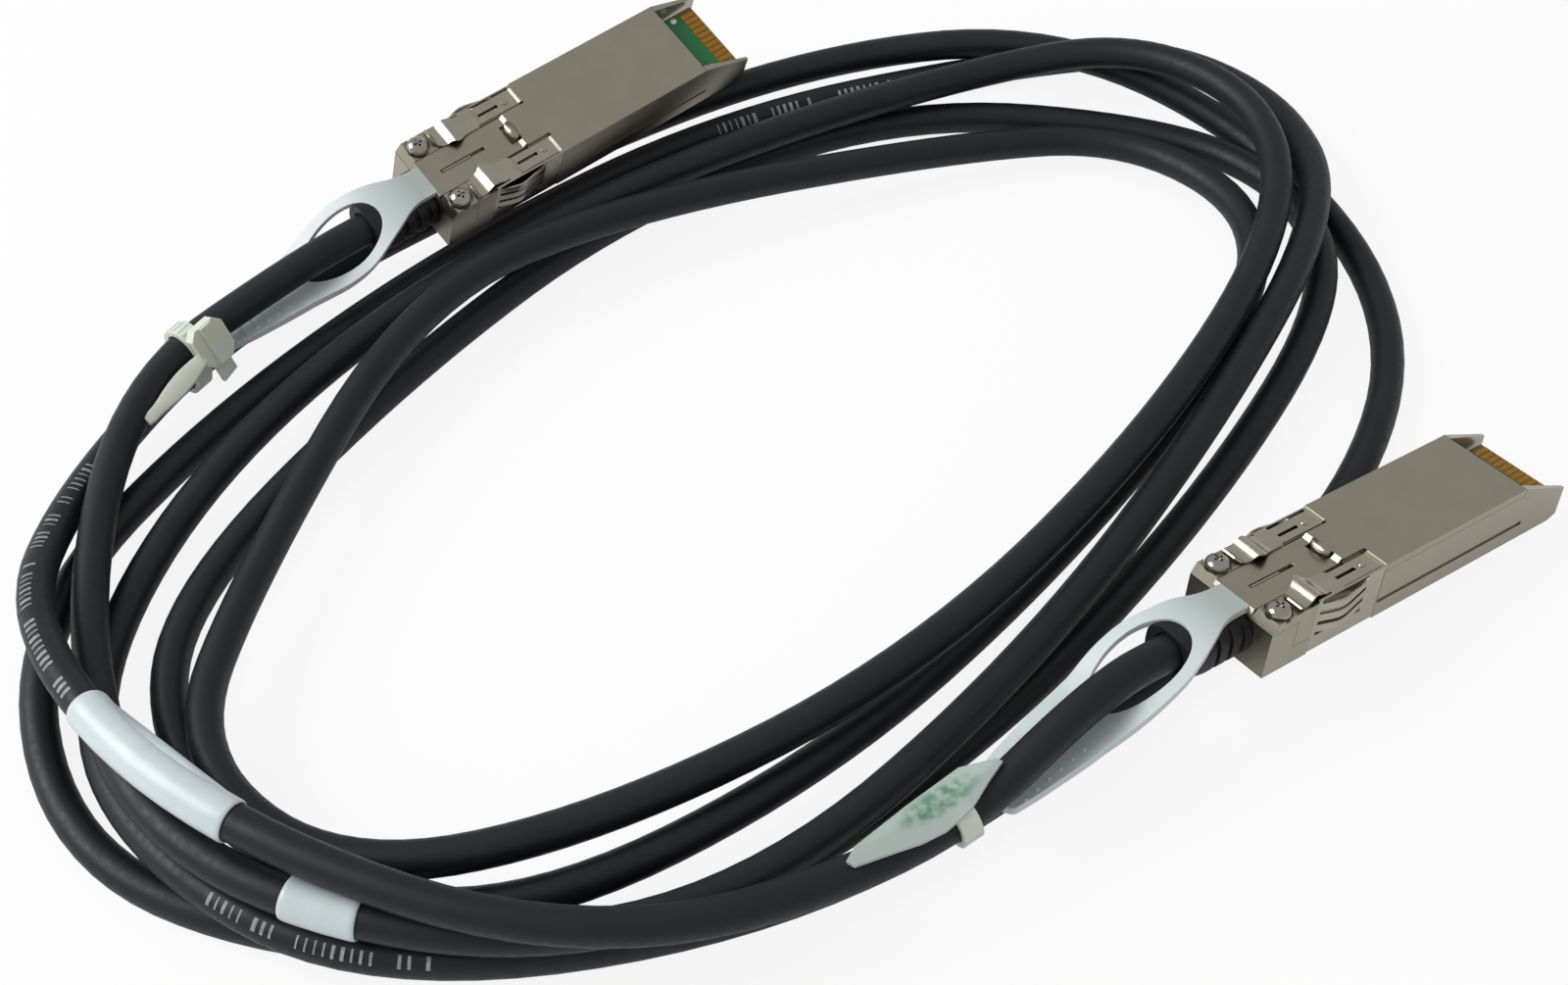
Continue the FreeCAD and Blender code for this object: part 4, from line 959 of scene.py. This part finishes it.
# ==== Parts inside the modules ====
# The memory chip, the two foil-wrapped pairs and the crimped ferrule are all but hidden, and
# keep their plain solids with their own finishes.
INNER_FINISHES = {
    "memory_chip": ("matt_epoxy_chip", "#26272a", 0.0, 0.6),
    "core_pairs": ("aluminium_pair_foil", "#b9bcc0", 1.0, 0.35),
    "crimp_ferrule": ("tinned_brass_ferrule", "#b8ab85", 1.0, 0.3),
}
for name, (finish, code, metallic, roughness) in INNER_FINISHES.items():
    material, tree = new_material(finish)
    place = node(tree, "ShaderNodeTexCoord").outputs["Object"]
    cloud = node(tree, "ShaderNodeTexNoise", {"Vector": place, "Scale": per(0.8)})
    gloss = node(tree, "ShaderNodeMapRange", {0: cloud, 1: 0.3, 2: 0.7,
                                              3: roughness - 0.08, 4: roughness + 0.08})
    shader = node(tree, "ShaderNodeBsdfPrincipled", {
        "Base Color": linear(code), "Metallic": metallic, "Roughness": gloss})
    node(tree, "ShaderNodeOutputMaterial", {"Surface": shader})
    for side in MODULES:
        coat(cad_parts[side + "_" + name].data, material)

# ==== Pull tabs ====
# Moulded polypropylene, milky and a little translucent: a neck on the slider that flows into an
# oval ring round the cable, then a paddle with grip ribs. It bends down from the module.
TAB_THICKNESS = 0.95
TAB_HALF = [(-0.6, 2.45), (1.0, 2.45), (2.8, 2.55), (4.4, 2.95), (6.2, 3.75), (8.0, 4.45),
            (9.8, 5.1), (12.0, 5.8), (14.0, 6.1), (16.5, 6.2), (19.5, 5.95), (22.0, 5.8),
            (25.5, 5.5), (29.0, 5.0), (32.0, 4.5), (34.5, 3.9)]  # half width behind the module
TAB_START = -0.55
TAB_END = 35.5
TAB_HOLE = (14.25, 6.3, 4.45)  # middle, half length and half width of the hole
TAB_RISE = {
    "left": [(-0.6, 8.2), (4.5, 8.2), (9.0, 6.8), (14.0, 3.6), (19.5, 0.5), (26.0, -0.7),
             (36.0, -2.3)],
    "right": [(-0.6, 8.2), (6.0, 8.1), (10.0, 6.6), (15.0, 3.7), (20.0, 0.0), (25.0, -2.1),
              (30.6, -4.25), (36.0, -6.5)],
}
TAB_TWIST = {"left": 28.0, "right": 11.0}  # degrees that the paddle has turned by its end
TAB_LEAN = {"left": 0.0, "right": 1.0}  # how far the paddle stands aside by its end
TAB_TURN = (9.0, 14.0)  # where both begin, and over what length
RIBS = 6
RIB_FIRST = 25.0
RIB_PITCH = 1.7
RIB = (4.0, 0.22, 0.32, 0.02)  # half length, half width, height and how far it is let in

# Polypropylene lets light in, so that it looks cloudy. Its colour is painted greyer where it lies
# on the slider and just behind, a painted shade for the darker parts seen through it.
milky_plastic, tree = new_material("milky_polypropylene")
spot = node(tree, "ShaderNodeAttribute", attribute_name="spot")
parts = node(tree, "ShaderNodeSeparateXYZ", {0: spot.outputs["Vector"]})
place = node(tree, "ShaderNodeTexCoord").outputs["Object"]
cloud = node(tree, "ShaderNodeTexNoise", {"Vector": place, "Scale": per(4), "Detail": 3.0})
# Painted shade: full from 2 mm behind the module forwards, gone by 11 mm behind it.
painted_shade_share = node(tree, "ShaderNodeMapRange", {0: parts, 1: -11.0, 2: -2.0, 3: 0.0, 4: 0.8})
clear = node(tree, "ShaderNodeMix", {0: cloud, 6: linear("#cddada"),
                                     7: linear("#dae4e4")}, data_type="RGBA")
colour = node(tree, "ShaderNodeMix", {0: painted_shade_share, 6: clear.outputs[2],
                                      7: linear("#adb8b3")}, data_type="RGBA")
bump = node(tree, "ShaderNodeBump", {"Height": cloud, "Distance": 0.08 * MM, "Strength": 0.25})
shader = node(tree, "ShaderNodeBsdfPrincipled", {
    "Base Color": colour.outputs[2], "Roughness": 0.36, "IOR": 1.49, "Normal": bump,
    "Subsurface Weight": 0.3, "Subsurface Scale": 1.0 * MM, "Transmission Weight": 0.1})
node(tree, "ShaderNodeOutputMaterial", {"Surface": shader})


def curved_table(table, x):
    """Value at x on a smooth curve through a table's points."""
    last = len(table) - 1
    k = max(0, min(last - 1, sum(1 for point in table if point[0] <= x) - 1))
    slopes = []
    for i in (k, k + 1):
        before, after = table[max(i - 1, 0)], table[min(i + 1, last)]
        slopes.append((after[1] - before[1]) / (after[0] - before[0]))
    (x0, v0), (x1, v1) = table[k], table[k + 1]
    run = x1 - x0
    t = min(max((x - x0) / run, 0.0), 1.0)
    return ((2 * t ** 3 - 3 * t ** 2 + 1) * v0 + (t ** 3 - 2 * t ** 2 + t) * run * slopes[0]
            + (3 * t ** 2 - 2 * t ** 3) * v1 + (t ** 3 - t ** 2) * run * slopes[1])


def tab_point(side, d, y, z):
    """Point of a tab that is bent down and twisted, at a distance behind the module."""
    share = min(1.0, max(0.0, (d - TAB_TURN[0]) / TAB_TURN[1]))
    turn = -radians(TAB_TWIST[side]) * share * share * (3 - 2 * share)
    return (-d, y * cos(turn) - z * sin(turn) + TAB_LEAN[side] * share,
            curved_table(TAB_RISE[side], d) + y * sin(turn) + z * cos(turn))


def tab_stations():
    """Distances behind the module with the half widths of the tab and of its hole there."""
    middle, reach, width = TAB_HOLE
    found = [(TAB_START + k * (middle - reach - TAB_START) / 12, 0.0) for k in range(12)]
    for k in range(33):
        turn = pi * k / 32
        hole = width * sin(turn) if 0 < k < 32 else 0.0
        found.append((middle - reach * cos(turn), hole))
    tail = middle + reach
    straight = TAB_HALF[-1][0]
    found += [(tail + k * (straight - tail) / 16, 0.0) for k in range(1, 17)]
    stations = [(d, curved_table(TAB_HALF, d), hole) for d, hole in found]
    last = TAB_HALF[-1][1]
    for k in range(1, 7):
        turn = pi / 2 * k / 7
        stations.append((straight + (TAB_END - straight) * sin(turn),
                         last * (0.45 + 0.55 * cos(turn)), 0.0))
    return stations


for side in MODULES:
    work = bmesh.new()
    rows = []
    for d, half, hole in tab_stations():
        row = []
        for z in (0, -TAB_THICKNESS):
            inner = [work.verts.new(tab_point(side, d, sign * hole, z))
                     for sign in ((-1, 1) if hole else (1,))]
            row.append([work.verts.new(tab_point(side, d, -half, z)), inner[0], inner[-1],
                        work.verts.new(tab_point(side, d, half, z))])
        rows.append(row)
    for (top0, low0), (top1, low1) in zip(rows, rows[1:]):
        for a, b in ((0, 1), (2, 3)):
            work.faces.new((top0[a], top1[a], top1[b], top0[b]))
            work.faces.new((low0[a], low0[b], low1[b], low1[a]))
        open_here = top0[1] is not top0[2] or top1[1] is not top1[2]
        for k in (0, 3, 1, 2) if open_here else (0, 3):
            work.faces.new((top0[k], low0[k], low1[k], top1[k]))
    for top, low in (rows[0], rows[-1]):
        for a, b in ((0, 1), (2, 3)):
            work.faces.new((top[a], top[b], low[b], low[a]))
    outward(work)
    cad_node = side + "_pull_tab"
    new_piece(cad_node + "_moulding", in_module(work, side, 0.22, steps=3, angle=40),
              milky_plastic, cad_node, side + "_latch")
    work = bmesh.new()
    length, width, height, sunk = RIB
    for k in range(RIBS):
        d = RIB_FIRST + RIB_PITCH * k
        arc = [(d + width * cos(pi * t / 6), height * sin(pi * t / 6) - sunk)
               for t in range(7)]
        ends = [[work.verts.new(tab_point(side, at, y, z)) for at, z in arc]
                for y in (-length, length)]
        work.faces.new(ends[0])
        work.faces.new(ends[1][::-1])
        for t in range(7):
            u = (t + 1) % 7
            work.faces.new((ends[0][t], ends[1][t], ends[1][u], ends[0][u]))
    outward(work)
    new_piece(side + "_grip_ribs", in_module(work, side, 0.03, steps=1, angle=60), milky_plastic,
              body=side + "_latch")

# ==== Cable ties ====
# Natural nylon ties, cloudy and slightly yellow. One, with a block head and a leaf-shaped tail,
# holds two strands behind the left module. One with a flag is round the right module's lead.
STRAP_RADIUS = 2.42  # inside of the strap
STRAP = (1.3, 0.75)  # half width and thickness
TOOTH = (0.34, 1.05, 0.2)  # length along the strap, half width and height
TOOTH_PITCH = 0.85
STRAP_EDGE = 0.18
LEFT_TIE_AT = (46.0, 2382.2)  # the cable's two stretches that the left tie holds, in mm along it
RIGHT_TIE_AT = 2564.4
HEAD_TURN = radians(48)
HEAD_PARTS = {  # outline, low and high face, and edge
    "head": ([(-1.3, -1.9), (-0.2, -3.2), (3.0, -3.2), (4.1, -1.9), (4.1, 1.9), (3.0, 3.0),
              (-0.2, 3.0), (-1.3, 1.9)], 2.75, 4.35, 0.35),
    "head_cap": ([(0.5, -3.1), (2.4, -3.1), (2.4, 2.9), (0.5, 2.9)], 4.2, 4.75, 0.25),
    "stub": ([(0.1, -5.9), (2.7, -5.4), (2.7, 0), (0.1, 0)], 2.95, 3.75, 0.2),
}
FLAG = [(1.0, -1.3), (2.0, -0.9), (4.6, 0.3), (7.4, 1.4), (7.0, 2.2), (3.0, 3.9), (-4.8, 3.4),
        (-12.5, 2.3), (-14.4, 1.2), (-14.0, 0.2), (-9.0, -0.9), (-6.1, -1.6), (-3.0, -1.9),
        (-1.3, -1.7)]
FLAG_THICKNESS = 0.55
FLAG_Z = 2.75  # its low face over the strand, before it is bent
TAIL_ROOT = (-0.8, -3.6, 2.0)
TAIL_RUN = (-11.9, -1.3, -0.7)  # from its root to its tip
THIN_EDGE = 0.14  # of the tail and the flag
STAMP = ((-1.5, 1.6), (6.0, 1.9))  # middle and reach on the flag

# Moulded nylon without pigment: light goes deep into it, and it is a little yellow.
natural_nylon, tree = new_material("natural_nylon")
place = node(tree, "ShaderNodeTexCoord").outputs["Object"]
cloud = node(tree, "ShaderNodeTexNoise", {"Vector": place, "Scale": per(3), "Detail": 3.0})
colour = node(tree, "ShaderNodeMix", {0: cloud, 6: linear("#dfe5d4"),
                                      7: linear("#ebf0e2")}, data_type="RGBA")
shader = node(tree, "ShaderNodeBsdfPrincipled", {
    "Base Color": colour.outputs[2], "Roughness": 0.3, "IOR": 1.53,
    "Subsurface Weight": 0.4, "Subsurface Scale": 1.2 * MM, "Transmission Weight": 0.15})
node(tree, "ShaderNodeOutputMaterial", {"Surface": shader})

# The flag is thinner and lets more light through, and a faint green smudge is left on it.
thin_nylon, tree = new_material("thin_stamped_nylon")
mark = node(tree, "ShaderNodeAttribute", attribute_name="stamp")
place = node(tree, "ShaderNodeTexCoord").outputs["Object"]
cloud = node(tree, "ShaderNodeTexNoise", {"Vector": place, "Scale": per(1.2), "Detail": 4.0})
faint = node(tree, "ShaderNodeMapRange", {0: cloud, 1: 0.4, 2: 0.6, 3: 0.15, 4: 1.0})
away = node(tree, "ShaderNodeVectorMath", {0: mark.outputs["Vector"]}, operation="LENGTH")
inside = node(tree, "ShaderNodeMapRange", {0: away.outputs["Value"], 1: 0.6, 2: 1.05, 3: 0.75,
                                           4: 0.0})
share = node(tree, "ShaderNodeMath", {0: inside, 1: faint}, operation="MULTIPLY")
colour = node(tree, "ShaderNodeMix", {0: share, 6: linear("#d3e2dc"),
                                      7: linear("#3f9a62")}, data_type="RGBA")
shader = node(tree, "ShaderNodeBsdfPrincipled", {
    "Base Color": colour.outputs[2], "Roughness": 0.32, "IOR": 1.53,
    "Subsurface Weight": 0.3, "Subsurface Scale": 0.8 * MM, "Transmission Weight": 0.5})
node(tree, "ShaderNodeOutputMaterial", {"Surface": shader})

teeth_tree, given = new_tree("teeth_on_a_strap", {
    "Pitch": "Float", "Tooth": "Vector", "Side": "Vector", "Material": "Material"})
tooth = node(teeth_tree, "GeometryNodeMeshCube", {"Size": given["Tooth"]})
spread(teeth_tree, given, {"Points": spaced(teeth_tree, given), "Instance": tooth,
                           "Rotation": turned(teeth_tree, given, "Y")})


def on_strand(point, along, up):
    """Takes millimetres beside a strand, x along it and z near up, to metres in the scene."""
    along = along.normalized()
    side = up.cross(along).normalized()
    up = along.cross(side)
    turn = Matrix((along, side, up)).transposed().to_4x4()
    return Matrix.Translation(point) @ turn @ Matrix.Scale(MM, 4)


def rounded_block(work, edge, steps=3, angle=30):
    """Round the sharp edges of a shape in millimetres and give its mesh."""
    sharp = [line for line in work.edges if len(line.link_faces) == 2
             and line.calc_face_angle(0) > radians(angle)]
    bmesh.ops.bevel(work, geom=sharp, offset=edge, segments=steps, profile=0.5, affect="EDGES",
                    clamp_overlap=True)
    outward(work)
    mesh = mesh_of(work, smooth=True)
    mesh.set_sharp_from_angle(angle=radians(35))
    return mesh


def strap_line(drop, radius, steps=20):
    """Loop in y and z round one strand, or round two when the second lies this far below."""
    loop = [(radius * cos(pi * k / steps), radius * sin(pi * k / steps))
            for k in range(steps + 1)]
    return loop + [(-y, -z - drop) for y, z in loop]


def strap_mesh(drop):
    """Closed strap round one strand or two."""
    half, thickness = STRAP
    inner = strap_line(drop, STRAP_RADIUS)
    outer = strap_line(drop, STRAP_RADIUS + thickness)
    work = bmesh.new()
    rings = [[work.verts.new((x, y, z)) for y, z in line] for x, line in
             ((-half, inner), (half, inner), (half, outer), (-half, outer))]
    bridge(work, rings + rings[:1])
    return rounded_block(work, STRAP_EDGE)


def head_part(outline, low, high, edge):
    """Block on the left tie's head, turned about the strand from its top towards the front."""
    work = bmesh.new()
    for vert in raised(work, outline, low, high):
        y, z = vert.co.y, vert.co.z
        vert.co.y = y * cos(HEAD_TURN) - z * sin(HEAD_TURN)
        vert.co.z = y * sin(HEAD_TURN) + z * cos(HEAD_TURN)
    return rounded_block(work, edge)


def tail_mesh():
    """Leaf-shaped end of the left tie's strap, in stations from its root to its tip."""
    work = bmesh.new()
    blade = []
    for k in range(13):
        t = k / 12
        x, y, z = (root + run * t for root, run in zip(TAIL_ROOT, TAIL_RUN))
        half = 0.75 + 0.5 * sin(pi * min(1.0, t * 1.25)) if t < 0.95 else 0.55
        blade.append([work.verts.new((x, y + a * half, z + a * half * 0.35 + b * 0.33))
                      for a, b in ((-1, -1), (1, -1), (1, 1), (-1, 1))])
    work.faces.new(blade[0][::-1])
    work.faces.new(blade[-1])
    bridge(work, blade)
    outward(work)
    return rounded_block(work, THIN_EDGE, steps=2, angle=40)


def flag_mesh():
    """The right tie's flag, with where its stamp lies: 0 at the middle and 1 at the rim."""
    work = bmesh.new()
    for vert in raised(work, FLAG, 0, FLAG_THICKNESS):
        x, y, z = vert.co
        vert.co.z = z + FLAG_Z + 0.09 * max(0, -x - 4) - 0.17 * max(0, y - 1.0)
    mesh = rounded_block(work, THIN_EDGE, steps=2, angle=40)
    (x, y), (reach_x, reach_y) = STAMP
    spots = mesh.attributes.new("stamp", "FLOAT_VECTOR", "POINT")
    for vertex, spot in zip(mesh.vertices, spots.data):
        spot.vector = ((vertex.co.x - x) / reach_x, (vertex.co.y - y) / reach_y, 0)
    return mesh


def tie_piece(name, mesh, place, material=natural_nylon, replaces=None):
    mesh.transform(place)
    new_piece(name, mesh, material, replaces)


(top_point, top_run), (low_point, low_run) = (on_cable(at * MM) for at in LEFT_TIE_AT)
along = -(top_run + low_run).normalized()
rise = top_point - low_point
rise -= along * rise.dot(along)
drop = rise.length / MM
left_place = on_strand(top_point, along, rise)
tie_piece("left_tie_strap", strap_mesh(drop), left_place, replaces="left_cable_tie")
for label, part in HEAD_PARTS.items():
    tie_piece("left_tie_" + label, head_part(*part), left_place)
tie_piece("left_tie_tail", tail_mesh(), left_place)

line = [left_place @ Vector((0, y, z)) for y, z in strap_line(drop, STRAP_RADIUS + STRAP[1])[2:16]]
teeth = grown("left_tie_teeth", teeth_tree, line_mesh(line), {
    "Pitch": TOOTH_PITCH * MM, "Tooth": [size * MM for size in (TOOTH[0], 2 * TOOTH[1], TOOTH[2])],
    "Side": tuple(-along), "Material": natural_nylon})
declare(teeth)

point, run = on_cable(RIGHT_TIE_AT * MM)
right_place = on_strand(point, run, Vector((0, 0, 1)))
tie_piece("right_tie_strap", strap_mesh(0), right_place, replaces="right_cable_tie")
tie_piece("right_tie_flag", flag_mesh(), right_place, thin_nylon)

# ==== Floor, lamp and world ====
# A white table with no edge in sight. One soft lamp stands high at the left, and the rest of
# the light comes from all round, as in a light tent.
FLOOR_HALF = 2.0

# Matt white paper. The camera sees mostly a plain white glow in its place, so that no shadow
# is heavy, reflections see less of that glow, and the lamp's light meets the matt paper.
paper, tree = new_material("white_paper")
ray = node(tree, "ShaderNodeLightPath")
seen = node(tree, "ShaderNodeMath", {0: ray.outputs["Is Camera Ray"],
                                     1: ray.outputs["Is Transmission Ray"]}, operation="MAXIMUM")
mirrored = node(tree, "ShaderNodeMath", {0: ray.outputs["Is Glossy Ray"], 1: 0.35},
                operation="MULTIPLY")
share = node(tree, "ShaderNodeMath", {0: seen, 1: 0.88}, operation="MULTIPLY")
share = node(tree, "ShaderNodeMath", {0: share, 1: mirrored}, operation="MAXIMUM")
matt = node(tree, "ShaderNodeBsdfDiffuse", {"Color": linear("#eeeeee")})
glow = node(tree, "ShaderNodeEmission", {"Color": linear("#ffffff"), "Strength": 1.0})
shader = node(tree, "ShaderNodeMixShader", {0: share, 1: matt, 2: glow})
node(tree, "ShaderNodeOutputMaterial", {"Surface": shader})
mesh = bpy.data.meshes.new("floor")
mesh.from_pydata([(x * FLOOR_HALF, y * FLOOR_HALF, 0) for x, y in
                  ((-1, -1), (1, -1), (1, 1), (-1, 1))], [], [(0, 1, 2, 3)])
mesh.materials.append(paper)
linked("floor", mesh)

light = bpy.data.lights.new("lamp_left", "AREA")
light.size = 0.6
light.energy = 7.0
lamp = linked("lamp_left", light)
lamp.location = (-0.75, 0.0, 0.62)
lamp.rotation_euler = (-lamp.location).to_track_quat("-Z", "Y").to_euler()

world = bpy.data.worlds.new("tent")
world.use_nodes = True
scene.world = world
tree = world.node_tree
tree.nodes.clear()
ray = node(tree, "ShaderNodeLightPath")
soft = node(tree, "ShaderNodeBackground", {"Color": linear("#ffffff"), "Strength": 0.55})
white = node(tree, "ShaderNodeBackground", {"Color": linear("#ffffff"), "Strength": 1.0})
shader = node(tree, "ShaderNodeMixShader", {
    0: ray.outputs["Is Camera Ray"], 1: soft, 2: white})
node(tree, "ShaderNodeOutputWorld", {"Surface": shader})
